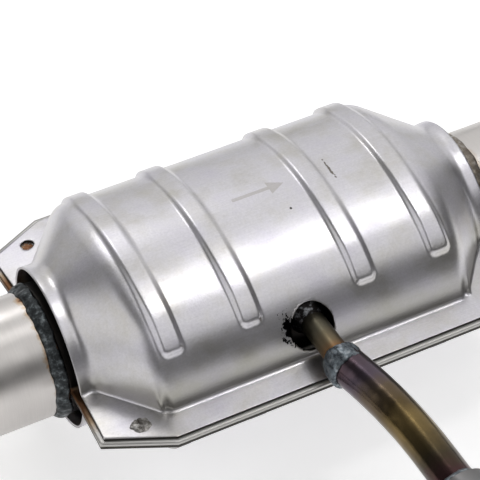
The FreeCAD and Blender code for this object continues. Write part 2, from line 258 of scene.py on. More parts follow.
def from_middle(tree, where):
    """Places on the object, measured from the middle of the part."""
    middle = bpy.context.scene.converter_shield.middle
    return add(tree, "ShaderNodeMapping", links={"Vector": where, "Location": (-middle, 0, 0)})


def new_piece(name, places, faces, slot, material=None):
    """A mesh object from places in metres, marked with the slot it is meant for."""
    mesh = bpy.data.meshes.new(name)
    mesh.from_pydata([tuple(p) for p in places], [], [tuple(f) for f in faces])
    mesh.update()
    work = bmesh.new()
    work.from_mesh(mesh)
    bmesh.ops.remove_doubles(work, verts=work.verts, dist=0.00001)
    bmesh.ops.recalc_face_normals(work, faces=work.faces)
    work.to_mesh(mesh)
    work.free()
    mesh.shade_smooth()
    piece = bpy.data.objects.new(name, mesh)
    bpy.context.scene.collection.objects.link(piece)
    if material:
        mesh.materials.append(material)
    piece["wanted_slot"] = slot
    return piece


def settle(piece, *nodes):
    """Turns a piece's modifiers into plain mesh, rides it on the body and hides the solids it stands for."""
    if piece.modifiers:
        graph = bpy.context.evaluated_depsgraph_get()
        mesh = bpy.data.meshes.new_from_object(piece.evaluated_get(graph), depsgraph=graph)
        piece.modifiers.clear()
        piece.data = mesh
    del piece["wanted_slot"]
    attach(piece, BODY)
    if nodes:
        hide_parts(*nodes)
    return piece


def join_pieces(pieces, name):
    """One object from several, each already in its place and with one finish."""
    finishes = []
    work = bmesh.new()
    for piece in pieces:
        own = piece.data.materials[0]
        if own not in finishes:
            finishes.append(own)
        before = len(work.faces)
        work.from_mesh(piece.data)
        work.faces.ensure_lookup_table()
        for face in work.faces[before:]:
            face.material_index = finishes.index(own)
    mesh = bpy.data.meshes.new(name)
    work.to_mesh(mesh)
    work.free()
    for own in finishes:
        mesh.materials.append(own)
    joined = bpy.data.objects.new(name, mesh)
    bpy.context.scene.collection.objects.link(joined)
    joined["wanted_slot"] = pieces[0]["wanted_slot"]
    for piece in pieces:
        bpy.data.objects.remove(piece)
    return joined


# ---------------------------------------------------------------- pressed sheets


def soft_step(u, width):
    """0 below a bend and u above it, rounded over the given width each way."""
    return np.where(u < -width, 0, np.where(u > width, u, (u + width) ** 2 / (4 * width)))


def share_of_cone(ax, straight, throat):
    """0 along the body, 1 from the throat on, and the share of the cone between."""
    return (soft_step(ax - straight, ROUND_BODY) - soft_step(ax - throat, ROUND_THROAT)) / (throat - straight)


def oval_numbers(half_w, half_h, side_share):
    """Centre and radius of the crown's arc and of the side's arc, and the angle where they meet."""
    side_r = side_share * half_h
    side_y = half_w - side_r
    crown_r = (side_y**2 + half_h**2 - side_r**2) / (2 * (half_h - side_r))
    crown_z = half_h - crown_r
    return crown_z, crown_r, side_y, side_r, math.atan2(-crown_z, side_y)


def smooth(u):
    u = np.clip(u, 0, 1)
    return u * u * (3 - 2 * u)


def hump(u, centre, width):
    """A smooth rise to 1 at the centre, gone a few widths away."""
    return np.exp(-(((u - centre) / width) ** 2))


def spaced(stops, steps):
    """Stations between the stops, with about the given step in each stretch."""
    found = [stops[0]]
    for low, high, step in zip(stops, stops[1:], steps):
        count = max(1, int(round((high - low) / step)))
        found.extend(low + (high - low) * i / count for i in range(1, count + 1))
    return np.array(found)


def body_angles(split):
    """Angles of the rows over the body, evenly spaced over each side and over the crown."""
    side = np.linspace(0, split, SIDE_ROWS + 1)
    crown = np.linspace(split, math.pi - split, CROWN_ROWS + 1)[1:]
    other = np.linspace(math.pi - split, math.pi, SIDE_ROWS + 1)[1:]
    return np.concatenate([side, crown, other])


def pressed_grid(sizes, side_share, stations, bump):
    """Places of a pressed half shell as a grid: stations along X, rows from one flange edge to the other."""
    crown_z, crown_r, side_y, side_r, split = oval_numbers(sizes["w"], sizes["h"], side_share)
    over, bend = np.linspace(1, 0, FLANGE_ROWS), np.linspace(1, 0, BEND_ROWS)
    rows = []
    ax = np.abs(stations)
    cone = share_of_cone(ax, sizes["straight"], sizes["throat"])
    radius = sizes["r"] - sizes["flare"] * (1 - smooth((ax - sizes["throat"] + 0.002) / 0.008))
    reach = (1 - cone) * side_r + cone * radius
    foot_z = sizes["top"] + sizes["bend"]
    low = np.arcsin(foot_z / reach)

    def body(turn):
        """Body surface at an angle given for each station."""
        on_side_near = turn < split
        on_side_far = turn > math.pi - split
        centre_y = np.where(on_side_near, side_y, np.where(on_side_far, -side_y, 0))
        centre_z = np.where(on_side_near | on_side_far, 0, crown_z)
        arc = np.where(on_side_near | on_side_far, side_r, crown_r)
        y = (1 - cone) * (centre_y + arc * np.cos(turn)) + cone * radius * np.cos(turn)
        z = (1 - cone) * (centre_z + arc * np.sin(turn)) + cone * radius * np.sin(turn)
        out = bump(stations, y, z)
        return y + out * np.cos(turn), z + out * np.sin(turn)

    foot_y = body(low)[0]
    share = np.clip((ax - sizes["side_x"]) / (sizes["end"] - sizes["side_x"]), 0, 1)

    def flange(f):
        """Flange at a share f of the way out from the bend."""
        inner = foot_y + sizes["bend"]
        end_y = inner[-1] + f * (sizes["tip_y"] - inner[-1])
        out = max(0.0, (end_y - sizes["end_y"]) / (sizes["tip_y"] - sizes["end_y"]))
        x = ax + share * (sizes["tip_x"] - sizes["end"]) * out
        cut = np.clip((x - sizes["side_x"]) / (sizes["tip_x"] - sizes["side_x"]), 0, 1)
        edge = sizes["flange_w"] - cut * (sizes["flange_w"] - sizes["tip_y"])
        y = inner + f * (edge - inner)
        return np.sign(stations) * x, y, np.full_like(y, sizes["top"] - sizes["droop"] * f)

    for f in over:
        x, y, z = flange(f)
        rows.append((x, y, z))
    for f in bend[1:-1]:
        turn = f * math.pi / 2
        y = foot_y + sizes["bend"] * (1 - math.cos(turn))
        z = np.full_like(y, foot_z - sizes["bend"] * math.sin(turn))
        rows.append((stations, y, z))
    for turn in body_angles(split):
        y, z = body(low + (math.pi - 2 * low) * turn / math.pi)
        rows.append((stations, y, z))
    half = len(over) + len(bend) - 2
    mirrored = [(x, -y, z) for x, y, z in rows[:half][::-1]]
    rows.extend(mirrored)
    return np.array([np.stack(row, axis=1) for row in rows])


def grid_faces(grid):
    rows, columns = grid.shape[:2]
    index = np.arange(rows * columns).reshape(rows, columns)
    faces = np.stack([index[:-1, :-1], index[:-1, 1:], index[1:, 1:], index[1:, :-1]], axis=-1)
    return faces.reshape(-1, 4)


def cut_round(places, faces, flat, centre, radius, snap, keep):
    """Faces left by a round hole in the plane of the axes in flat, with the rim's places moved to it."""
    away = places[:, flat] - np.array(centre)
    distance = np.hypot(away[:, 0], away[:, 1])
    near = (np.abs(distance - radius) < snap) & keep(places)
    inside = (distance[faces].mean(axis=1) < radius) & keep(places)[faces].all(axis=1)
    faces = faces[~inside]
    rim_verts = set(np.unique(faces)) & set(np.where(near | (distance < radius) & keep(places))[0])
    for i in rim_verts:
        if distance[i] > 1e-9:
            places[i, flat] = np.array(centre) + away[i] / distance[i] * radius
    return faces


def cut_side_hole(places, faces, oval, centre, radius, snap, beyond):
    """Cuts a round hole through the near side, and lays its rim back on the oval's side."""
    side_y, side_r = oval[2:4]
    faces = cut_round(places, faces, [0, 2], centre, radius, snap, keep=lambda p: p[:, 1] < beyond)
    distance = np.hypot(places[:, 0] - centre[0], places[:, 2] - centre[1])
    rim = (distance < radius + 0.0001) & (places[:, 1] < beyond)
    places[rim, 1] = -(side_y + np.sqrt(side_r**2 - places[rim, 2] ** 2))
    return faces


def shield_stations():
    """Stations along the shield, closer together where the beads and the bends need them."""
    half = spaced(
        [0, 15, 20, 40, 61, 68, 74, 81, 82.5, 91, 98, 102, 109, 112.2],
        [1.0, 1.0, 0.65, 1.6, 0.65, 0.9, 0.65, 0.75, 0.85, 0.7, 0.9, 0.7, 0.65],
    )
    return both_ways(half)


def both_ways(half):
    """Stations in metres on both sides of the middle, from those on one side in millimetres."""
    return np.concatenate([-half[::-1][:-1], half]) * MM


def bead_bump(sizes):
    """Height of the pressed beads and of the sheet's slight waves over the plain form."""

    def bump(x, y, z):
        out = np.zeros_like(y)
        for middle in (sizes.bead_inner, sizes.bead_outer):
            along = np.abs(np.abs(x) - middle) - (sizes.bead_width / 2 - sizes.bead_corner)
            down = (sizes.bead_foot - z) / 0.82 + sizes.bead_corner
            outside = np.hypot(np.maximum(along, 0), np.maximum(down, 0))
            edge = outside + np.minimum(np.maximum(along, down), 0) - sizes.bead_corner
            full = 0.62 + 0.38 * smooth((0.050 - z) / 0.010)
            out += sizes.bead_rise * full * smooth(-edge / 0.0030 + 0.1)
        wave = np.array([noise.noise(Vector((a * 26, b * 30, c * 30))) for a, b, c in zip(x, y, z)])
        return out + np.minimum(wave, 0) * 0.0003 + press_marks(x, y, z)

    return bump


def press_marks(x, y, z):
    """Puckers that the press leaves where cone, body and flange meet, a little different at each corner."""
    ax = np.abs(x)
    corner = 0.8 + 0.3 * np.sign(x) * np.sign(y) + 0.15 * np.sign(x)
    fold = hump(ax, 0.0832, 0.0013) - 0.7 * hump(ax, 0.0800, 0.0016)
    pinch = 0.0016 * fold * hump(z, 0.007, 0.0075)
    heel = 0.0012 * hump(ax, 0.1015, 0.0024) * hump(z, 0.0115, 0.006)
    dent = -0.0006 * hump(ax, 0.095, 0.006) * hump(z, 0.027, 0.007)
    return corner * (pinch + heel + dent)


def make_shield_piece(name, upper):
    scene = bpy.context.scene
    s = scene.converter_shield
    sizes = dict(
        w=s.half_width, h=s.height, straight=s.straight, throat=s.throat, end=s.end, r=s.collar_radius,
        flare=0.0008, top=s.flange_top + s.flange_droop, bend=s.flange_bend,
        side_x=s.flange_side, tip_x=s.flange_tip_x, tip_y=s.flange_tip_y, end_y=s.flange_end_y,
        flange_w=s.flange_half_width, droop=s.flange_droop,
    )
    grid = pressed_grid(sizes, s.side_share, shield_stations(), bead_bump(s))
    places = grid.reshape(-1, 3)
    faces = grid_faces(grid)
    if upper:
        oval = oval_numbers(s.half_width, s.height, s.side_share)
        faces = cut_side_hole(
            places, faces, oval, (s.hole_x, s.hole_z), s.hole_radius, snap=0.0006, beyond=-0.05,
        )
        centre = (-s.plug_x, s.plug_y)
        faces = cut_round(
            places, faces, [0, 1], centre, s.plug_sunk, snap=0.0004, keep=lambda p: p[:, 2] < 0.004,
        )
    else:
        places[:, 2] *= -1
    places[:, 0] += s.middle
    piece = new_piece(name, places, faces, "shield_steel", finish("Satin rolled stainless", satin_stainless))
    thicken(piece, upper, s.sheet, True)
    return piece


def thicken(piece, upper, sheet, bare_edge):
    """Turns an open sheet's crown away from the part and gives it its thickness inwards."""
    thickness = piece.modifiers.new("sheet", "SOLIDIFY")
    thickness.thickness = sheet
    thickness.offset = -1
    thickness.use_even_offset = True
    mesh = piece.data
    if bare_edge:
        thickness.material_offset_rim = 1
        mesh.materials.append(finish("Sheared edge", cut_edge))
    top = max(mesh.polygons, key=lambda f: abs(f.center.z))
    if (top.normal.z < 0) == upper:
        mesh.flip_normals()


def make_can_piece(name, upper):
    scene = bpy.context.scene
    s, c, a = scene.converter_shield, scene.converter_can, scene.converter_air
    sizes = dict(
        w=c.half_width, h=c.height, straight=c.straight, throat=c.throat, end=c.end, r=c.neck_radius,
        flare=0.0, top=c.sheet, bend=0.0016,
        side_x=s.flange_side + 0.001, tip_x=s.flange_tip_x + c.lip, tip_y=s.flange_tip_y + 0.0012,
        end_y=s.flange_end_y,
        flange_w=s.flange_half_width + c.lip, droop=0.0,
    )
    stations = both_ways(spaced([0, 10, 70, 83.5, 108, 114.7], [0.8, 4, 1.5, 1.2, 1.2]))
    grid = pressed_grid(sizes, s.side_share, stations, lambda x, y, z: np.zeros_like(y))
    places, faces = grid.reshape(-1, 3), grid_faces(grid)
    if upper:
        oval = oval_numbers(c.half_width, c.height, s.side_share)
        faces = cut_side_hole(
            places, faces, oval, (a.along, a.height), a.stub_radius, snap=0.0004, beyond=-0.04,
        )
    else:
        places[:, 2] *= -1
    places[:, 0] += s.middle
    piece = new_piece(name, places, faces, "can_steel", finish("Heat-tinted stainless with painted shade", can_steel))
    thicken(piece, upper, c.sheet - SEAM_GAP / 2, not upper)
    return piece


# ---------------------------------------------------------------- round pieces


def turned_piece(name, outline, origin, axis, segments, slot, material):
    """A ring from a closed outline of (along, radius) pairs, turned about an axis."""
    along = Vector(axis).normalized()
    side = Vector((0, 0, 1))
    third = side.cross(along)
    places, faces = [], []
    for k in range(segments):
        turn = 2 * math.pi * k / segments
        spoke = side * math.cos(turn) + third * math.sin(turn)
        places.extend(Vector(origin) + along * a + spoke * r for a, r in outline)
    count = len(outline)
    for k in range(segments):
        for i in range(count):
            a, b = k * count, ((k + 1) % segments) * count
            faces.append((a + i, a + (i + 1) % count, b + (i + 1) % count, b + i))
    return new_piece(name, places, faces, slot, material)


def rounded_outline(corners, radius, steps=4):
    """A closed outline with each corner rounded, and its long sides divided for shading."""
    found = []
    count = len(corners)
    for i, corner in enumerate(corners):
        here = Vector(corner)
        before, after = Vector(corners[i - 1]) - here, Vector(corners[(i + 1) % count]) - here
        cut = min(radius, before.length * 0.45, after.length * 0.45)
        start, end = here + before.normalized() * cut, here + after.normalized() * cut
        for k in range(steps + 1):
            t = k / steps
            found.append(tuple(start * (1 - t) ** 2 + here * 2 * t * (1 - t) + end * t * t))
        gap = Vector(corners[(i + 1) % count]) - here
        parts = int(gap.length / 0.004)
        for k in range(1, parts):
            found.append(tuple(end + (gap - gap.normalized() * 2 * cut) * k / parts))
    return found


def tube_path(air):
    """Places and headings along the air tube's centre line."""
    start = Vector((bpy.context.scene.converter_shield.middle + air.along, -air.tube_start, air.height))
    found = []
    centre = start + air.bend_radius * Vector((-math.cos(air.bend), -math.sin(air.bend), 0))
    steps = 60
    for k in range(steps + 1):
        turn = air.bend * (1 - k / steps)
        spoke = Vector((math.cos(turn), math.sin(turn), 0))
        found.append((centre + spoke * air.bend_radius, Vector((math.sin(turn), -math.cos(turn), 0))))
    last = found[-1][0]
    for k in range(1, 25):
        found.append((last + Vector((0, -air.tail * k / 24, 0)), Vector((0, -1, 0))))
    return found


def swept_tube(name, path, outer, inner, segments, slot, material):
    """A closed tube wall along a level path."""
    places, faces = [], []
    rings = [(p, h, outer) for p, h in path] + [(p, h, inner) for p, h in reversed(path)]
    for place, heading, radius in rings:
        side = Vector((0, 0, 1)).cross(heading)
        for k in range(segments):
            turn = 2 * math.pi * k / segments
            spoke = side * math.cos(turn) + Vector((0, 0, 1)) * math.sin(turn)
            wave = 0.00009 * noise.noise((place + spoke * radius) * 120) if radius == outer else 0
            places.append(place + spoke * (radius - abs(wave)))
    count = len(rings)
    for i in range(count):
        for k in range(segments):
            a, b = i * segments, ((i + 1) % count) * segments
            faces.append((a + k, a + (k + 1) % segments, b + (k + 1) % segments, b + k))
    return new_piece(name, places, faces, slot, material)


# ---------------------------------------------------------------- geometry nodes


def run_tree(piece, tree, values):
    """Puts a node tree on a piece and sets its inputs by the sockets' identifiers."""
    work = piece.modifiers.new(tree.name, "NODES")
    work.node_group = tree
    for item in tree.interface.items_tree:
        if item.item_type == "SOCKET" and item.in_out == "INPUT" and item.name in values:
            work[item.identifier] = values[item.name]
    return piece


def new_tree(name, inputs):
    tree = bpy.data.node_groups.new(name, "GeometryNodeTree")
    tree.interface.new_socket("Geometry", in_out="INPUT", socket_type="NodeSocketGeometry")
    for label, kind in inputs:
        tree.interface.new_socket(label, in_out="INPUT", socket_type=kind)
    tree.interface.new_socket("Geometry", in_out="OUTPUT", socket_type="NodeSocketGeometry")
    return tree, add(tree, "NodeGroupInput")


def weld_tree():
    """Ripples and lumps of a weld bead that runs round an axis."""
    tree, given = new_tree("Weld ripples", [
        ("Origin", "NodeSocketVector"), ("Axis", "NodeSocketVector"), ("Inner Radius", "NodeSocketFloat"),
        ("Ripples", "NodeSocketFloat"), ("Ripple Height", "NodeSocketFloat"), ("Chevron", "NodeSocketFloat"),
        ("Lump Scale", "NodeSocketFloat"), ("Lump Height", "NodeSocketFloat"), ("Wander", "NodeSocketFloat"),
        ("Seed", "NodeSocketFloat"),
        ("Material", "NodeSocketMaterial"),
    ])
    out = given.outputs
    place = add(tree, "GeometryNodeInputPosition")
    away = add(tree, VECTOR_MATH, {"operation": "SUBTRACT"}, {0: place, 1: out["Origin"]})
    along = add(tree, VECTOR_MATH, {"operation": "DOT_PRODUCT"}, {0: away, 1: out["Axis"]}).outputs["Value"]
    shift = add(tree, VECTOR_MATH, {"operation": "SCALE"}, {0: out["Axis"], "Scale": along})
    spoke = add(tree, VECTOR_MATH, {"operation": "SUBTRACT"}, {0: away, 1: shift})
    reach = add(tree, VECTOR_MATH, {"operation": "LENGTH"}, {0: spoke}).outputs["Value"]
    third = add(tree, VECTOR_MATH, {"operation": "CROSS_PRODUCT"}, {0: (0, 0, 1), 1: out["Axis"]})
    across = add(tree, VECTOR_MATH, {"operation": "DOT_PRODUCT"}, {0: spoke, 1: third}).outputs["Value"]
    up = add(tree, VECTOR_MATH, {"operation": "DOT_PRODUCT"}, {0: spoke, 1: (0, 0, 1)}).outputs["Value"]
    turn = add(tree, MATH, {"operation": "ARCTAN2"}, {0: across, 1: up})
    wobble = add(
        tree, NOISE, {"noise_dimensions": "4D"},
        {"Vector": place, "W": out["Seed"], "Scale": 160.0, "Detail": 2.0},
    )
    steps = add(tree, MATH, {"operation": "MULTIPLY"}, {0: turn, 1: out["Ripples"]})
    bow = add(tree, MATH, {"operation": "MULTIPLY"}, {0: along, 1: along})
    bowed = add(tree, MATH, {"operation": "MULTIPLY_ADD"}, {0: bow, 1: out["Chevron"], 2: steps})
    uneven = add(tree, MATH, {"operation": "MULTIPLY_ADD"}, {0: wobble, 1: 2.5, 2: bowed})
    wave = add(tree, MATH, {"operation": "SINE"}, {0: uneven})
    ripple = add(tree, MATH, {"operation": "MULTIPLY"}, {0: wave, 1: out["Ripple Height"]})
    lumps = add(
        tree, NOISE, {"noise_dimensions": "4D"},
        {"Vector": place, "W": out["Seed"], "Scale": out["Lump Scale"], "Detail": 1.0},
    )
    lump = add(tree, MATH, {"operation": "SUBTRACT"}, {0: lumps, 1: 0.5})
    raised = add(tree, MATH, {"operation": "MULTIPLY_ADD"}, {0: lump, 1: out["Lump Height"], 2: ripple})
    over = add(tree, MATH, {"operation": "SUBTRACT"}, {0: reach, 1: out["Inner Radius"]})
    mask = add(tree, MATH, {"operation": "DIVIDE", "use_clamp": True}, {0: over, 1: 0.0006})
    height = add(tree, MATH, {"operation": "MULTIPLY"}, {0: raised, 1: mask})
    normal = add(tree, "GeometryNodeInputNormal")
    offset = add(tree, VECTOR_MATH, {"operation": "SCALE"}, {0: normal, "Scale": height})
    drift = add(
        tree, NOISE, {"noise_dimensions": "4D"},
        {"Vector": place, "W": out["Seed"], "Scale": 85.0, "Detail": 2.0},
    )
    step = add(tree, MATH, {"operation": "SUBTRACT"}, {0: drift, 1: 0.5})
    slide = add(tree, MATH, {"operation": "MULTIPLY"}, {0: step, 1: out["Wander"]})
    sideways = add(tree, VECTOR_MATH, {"operation": "SCALE"}, {0: out["Axis"], "Scale": slide})
    whole = add(tree, VECTOR_MATH, {"operation": "ADD"}, {0: offset, 1: sideways})
    moved = add(tree, "GeometryNodeSetPosition", links={"Geometry": out["Geometry"], "Offset": whole})
    real = add(tree, "GeometryNodeRealizeInstances", links={0: moved})
    dressed = add(tree, "GeometryNodeSetMaterial", links={"Geometry": real, "Material": out["Material"]})
    add(tree, "NodeGroupOutput", links={0: dressed})
    return tree


def brick_tree():
    """Cell walls of a brick, from a sheet with one face for each cell."""
    tree, given = new_tree("Brick cells", [
        ("Open Share", "NodeSocketFloat"), ("Depth", "NodeSocketFloat"), ("Material", "NodeSocketMaterial"),
    ])
    out = given.outputs
    rim = add(
        tree, "GeometryNodeExtrudeMesh", {"mode": "FACES"},
        {"Mesh": out["Geometry"], "Offset Scale": 0.0, "Individual": True},
    )
    inset = add(
        tree, "GeometryNodeScaleElements", {"domain": "FACE"},
        {"Geometry": rim.outputs["Mesh"], "Selection": rim.outputs["Top"], "Scale": out["Open Share"]},
    )
    back = add(tree, MATH, {"operation": "MULTIPLY"}, {0: out["Depth"], 1: -1.0})
    deep = add(
        tree, "GeometryNodeExtrudeMesh", {"mode": "FACES"},
        {"Mesh": inset, "Selection": rim.outputs["Top"], "Offset Scale": back, "Individual": True},
    )
    open_ends = add(
        tree, "GeometryNodeDeleteGeometry", {"domain": "FACE"},
        {"Geometry": deep.outputs["Mesh"], "Selection": deep.outputs["Top"]},
    )
    merged = add(tree, "GeometryNodeMergeByDistance", links={"Geometry": open_ends, "Distance": 0.00002})
    real = add(tree, "GeometryNodeRealizeInstances", links={0: merged})
    dressed = add(tree, "GeometryNodeSetMaterial", links={"Geometry": real, "Material": out["Material"]})
    add(tree, "NodeGroupOutput", links={0: dressed})
    return tree


def shared_tree(name, maker):
    return bpy.data.node_groups.get(name) or maker()


# ---------------------------------------------------------------- finishes


def satin_stainless(tree, where):
    """Satin rolled stainless sheet: broad soft highlights, faint streaks, a few marks from handling, and low
    sides darkened in part by painted reflection.
    """
    shades = bpy.context.scene.converter_finish
    centred = from_middle(tree, where)
    streak_space = add(tree, "ShaderNodeMapping", links={"Vector": centred, "Scale": (60, 1400, 1400)})
    streaks = add(tree, NOISE, links={"Vector": streak_space, "Scale": 1.0, "Detail": 3.0})
    grain = add(tree, NOISE, links={"Vector": centred, "Scale": 900.0, "Detail": 3.0, "Roughness": 0.6})
    stains = add(tree, NOISE, links={"Vector": centred, "Scale": 42.0, "Detail": 4.0, "Roughness": 0.6})
    tints = ((0.3, linear("#C3C0BC")), (0.52, shades.shield), (0.72, linear("#CCC9D2")))
    tone = add(tree, "ShaderNodeValToRGB", {"stops": tints}, {"Fac": stains})
    light = add(tree, MAP_RANGE, links={**NOISE_SPAN, "Value": streaks, "To Min": 0.96, "To Max": 1.02})
    speck = add(tree, MAP_RANGE, links={**NOISE_SPAN, "Value": grain, "To Min": 0.93, "To Max": 1.05})
    both = add(tree, MATH, {"operation": "MULTIPLY"}, {0: light, 1: speck})
    streaked = add(tree, VECTOR_MATH, {"operation": "SCALE"}, {0: tone, "Scale": both})
    # low sides darkened: in part an olive film, in part a painted dark reflection
    film_and_painted_reflection = side_film_and_painted_reflection(tree, centred, stains, streaked)
    marked = dark_marks(tree, centred, film_and_painted_reflection)
    dull = add(tree, MAP_RANGE, links={**NOISE_SPAN, "Value": stains, "To Min": 0.28, "To Max": 0.38})
    rise = add(tree, "ShaderNodeBump", links={"Strength": 0.5, "Distance": 0.0001, "Height": grain})
    return add(
        tree, "ShaderNodeBsdfPrincipled",
        links={"Base Color": marked, "Metallic": 1.0, "Roughness": dull, "Normal": rise},
    )


def side_film_and_painted_reflection(tree, centred, stains, ground):
    """Darkens the body's sides low down, just over the flange, towards a dull olive: in part an olive film,
    in part a painted dark reflection.
    """
    size = add(tree, VECTOR_MATH, {"operation": "ABSOLUTE"}, {0: centred})
    high = add(tree, "ShaderNodeSeparateXYZ", links={0: size}).outputs[2]
    uneven = add(tree, MATH, {"operation": "MULTIPLY_ADD"}, {0: stains, 1: 0.012, 2: high})
    below = add(
        tree, MAP_RANGE, {"interpolation_type": "SMOOTHSTEP"},
        {"Value": uneven, "From Min": 0.016, "From Max": 0.031, "To Min": 0.6, "To Max": 0.0},
    )
    over = add(tree, MAP_RANGE, links={"Value": high, "From Min": 0.0046, "From Max": 0.0056})
    cover = add(tree, MATH, {"operation": "MULTIPLY"}, {0: below, 1: over})
    # the olive shade mixed in low on the sides, in part painted dark reflection
    return add(
        tree, "ShaderNodeMix", {"data_type": "RGBA"}, {"Factor": cover, 6: ground, 7: linear("#8E8C80")},
    ).outputs[2]


def cut_edge(tree, where):
    """The sheet's sheared edge: painted dark as shade along the flange and the holes, bare at the collar's
    rim.
    """
    centred = from_middle(tree, where)
    size = add(tree, VECTOR_MATH, {"operation": "ABSOLUTE"}, {0: centred})
    x, _, z = add(tree, "ShaderNodeSeparateXYZ", links={0: size}).outputs
    far = add(tree, MATH, {"operation": "GREATER_THAN"}, {0: x, 1: 0.1})
    high = add(tree, MATH, {"operation": "GREATER_THAN"}, {0: z, 1: 0.0042})
    rim = add(tree, MATH, {"operation": "MULTIPLY"}, {0: far, 1: high})
    # painted shade: the edge is dark everywhere but at the collar's rim
    tone = add(
        tree, "ShaderNodeMix", {"data_type": "RGBA"},
        {"Factor": rim, 6: linear("#4B4945"), 7: linear("#B9B6B8")},
    ).outputs[2]
    return add(
        tree, "ShaderNodeBsdfPrincipled", links={"Base Color": tone, "Metallic": 1.0, "Roughness": 0.5},
    )


def dark_marks(tree, centred, ground):
    """A near-black ragged patch beside the side hole, a scratch and a speck, and the etched flow arrow on the
    crown.
    """
    upright = add(tree, "ShaderNodeMapping", links={"Vector": centred, "Scale": (1, 1, 0.5)})
    ragged = add(tree, NOISE, links={"Vector": upright, "Scale": 560.0, "Detail": 3.0, "Roughness": 0.6})
    colour_now = ground
    # centre, half sizes, shade, and how torn the rim is
    spots = (
        # a near-black ragged patch beside the side hole
        ((-0.0134, -0.0640, 0.0215), (0.0036, 0.020, 0.0072), "#0A0A0B", 0.34),
        ((0.0413, -0.0049, 0.0545), (0.0006, 0.0070, 0.008), "#77726D", 0.30),
        ((0.0125, -0.0198, 0.0525), (0.0007, 0.0008, 0.004), "#3A3734", 0.0),
    )
    for centre, size, shade, torn in spots:
        away = add(tree, VECTOR_MATH, {"operation": "SUBTRACT"}, {0: centred, 1: centre})
        scaled = add(tree, VECTOR_MATH, {"operation": "DIVIDE"}, {0: away, 1: size})
        reach = add(tree, VECTOR_MATH, {"operation": "LENGTH"}, {0: scaled}).outputs["Value"]
        uneven = add(tree, MATH, {"operation": "MULTIPLY_ADD"}, {0: ragged, 1: torn * 10, 2: reach})
        cover = add(
            tree, MAP_RANGE,
            links={
                "Value": uneven, "From Min": 0.85 + torn * 5, "From Max": 1.0 + torn * 5, "To Min": 1.0,
                "To Max": 0.0,
            },
        )
        colour_now = add(
            tree, "ShaderNodeMix", {"data_type": "RGBA"}, {"Factor": cover, 6: colour_now, 7: linear(shade)},
        ).outputs[2]
    return flow_arrow(tree, centred, colour_now)


def flow_arrow(tree, centred, ground):
    """A plain etched arrow along the gas flow, 28 mm long, a little yellower and darker than the sheet."""
    x, y, z = add(tree, "ShaderNodeSeparateXYZ", links={0: centred}).outputs
    aside = add(tree, MATH, {"operation": "SUBTRACT"}, {0: y, 1: -0.003})
    across = add(tree, MATH, {"operation": "ABSOLUTE"}, {0: aside})
    slope = add(tree, MATH, {"operation": "MULTIPLY_ADD"}, {0: x, 1: -0.55, 2: 0.0094})
    in_head = add(tree, MATH, {"operation": "LESS_THAN"}, {0: across, 1: slope})
    past_neck = add(tree, MATH, {"operation": "GREATER_THAN"}, {0: x, 1: 0.0088})
    head = add(tree, MATH, {"operation": "MULTIPLY"}, {0: in_head, 1: past_neck})
    thin = add(tree, MATH, {"operation": "LESS_THAN"}, {0: across, 1: 0.0011})
    before = add(tree, MATH, {"operation": "COMPARE"}, {0: x, 1: -0.001, 2: 0.0099})
    shaft = add(tree, MATH, {"operation": "MULTIPLY"}, {0: thin, 1: before})
    shape = add(tree, MATH, {"operation": "MAXIMUM"}, {0: head, 1: shaft})
    on_top = add(tree, MATH, {"operation": "GREATER_THAN"}, {0: z, 1: 0.04})
    etched = add(tree, MATH, {"operation": "MULTIPLY"}, {0: shape, 1: on_top})
    faint = add(tree, MATH, {"operation": "MULTIPLY"}, {0: etched, 1: 0.45})
    return add(
        tree, "ShaderNodeMix", {"data_type": "RGBA"}, {"Factor": faint, 6: ground, 7: linear("#9A948A")},
    ).outputs[2]


def can_steel(tree, where):
    """Formed stainless of the can: satin, with a brown heat tint towards the pipes; the body under the shield
    is painted near-black as shade, leaving only the flange's lip its tone.
    """
    centred = from_middle(tree, where)
    size = add(tree, VECTOR_MATH, {"operation": "ABSOLUTE"}, {0: centred})
    out, _, high = add(tree, "ShaderNodeSeparateXYZ", links={0: size}).outputs
    patches = add(tree, NOISE, links={"Vector": centred, "Scale": 110.0, "Detail": 4.0})
    uneven = add(tree, MATH, {"operation": "MULTIPLY_ADD"}, {0: patches, 1: 0.02, 2: out})
    ends = add(tree, MAP_RANGE, links={"Value": uneven, "From Min": 0.108, "From Max": 0.122})
    wide = add(tree, VECTOR_MATH, {"operation": "MULTIPLY"}, {0: centred, 1: (0, 1, 1)})
    reach = add(tree, VECTOR_MATH, {"operation": "LENGTH"}, {0: wide}).outputs["Value"]
    near = add(
        tree, MAP_RANGE,
        links={"Value": reach, "From Min": 0.052, "From Max": 0.066, "To Min": 1.0, "To Max": 0.0},
    )
    tint = add(tree, MATH, {"operation": "MULTIPLY"}, {0: ends, 1: near})
    tints = ((0.0, linear("#C4C2BF")), (0.6, linear("#A08C74")), (1.0, linear("#75543C")))
    tone = add(tree, "ShaderNodeValToRGB", {"stops": tints}, {"Fac": tint})
    # painted shade: the can's body under the shield goes near-black, only the flange's lip keeps its colour
    inside = add(tree, MAP_RANGE, links={"Value": high, "From Min": 0.0018, "From Max": 0.0032})
    oxide = add(
        tree, "ShaderNodeMix", {"data_type": "RGBA"}, {"Factor": inside, 6: tone, 7: linear("#2A2725")},
    ).outputs[2]
    rise = add(tree, "ShaderNodeBump", links={"Strength": 0.15, "Distance": 0.0002, "Height": patches})
    return add(
        tree, "ShaderNodeBsdfPrincipled",
        links={"Base Color": oxide, "Metallic": 1.0, "Roughness": 0.45, "Normal": rise},
    )


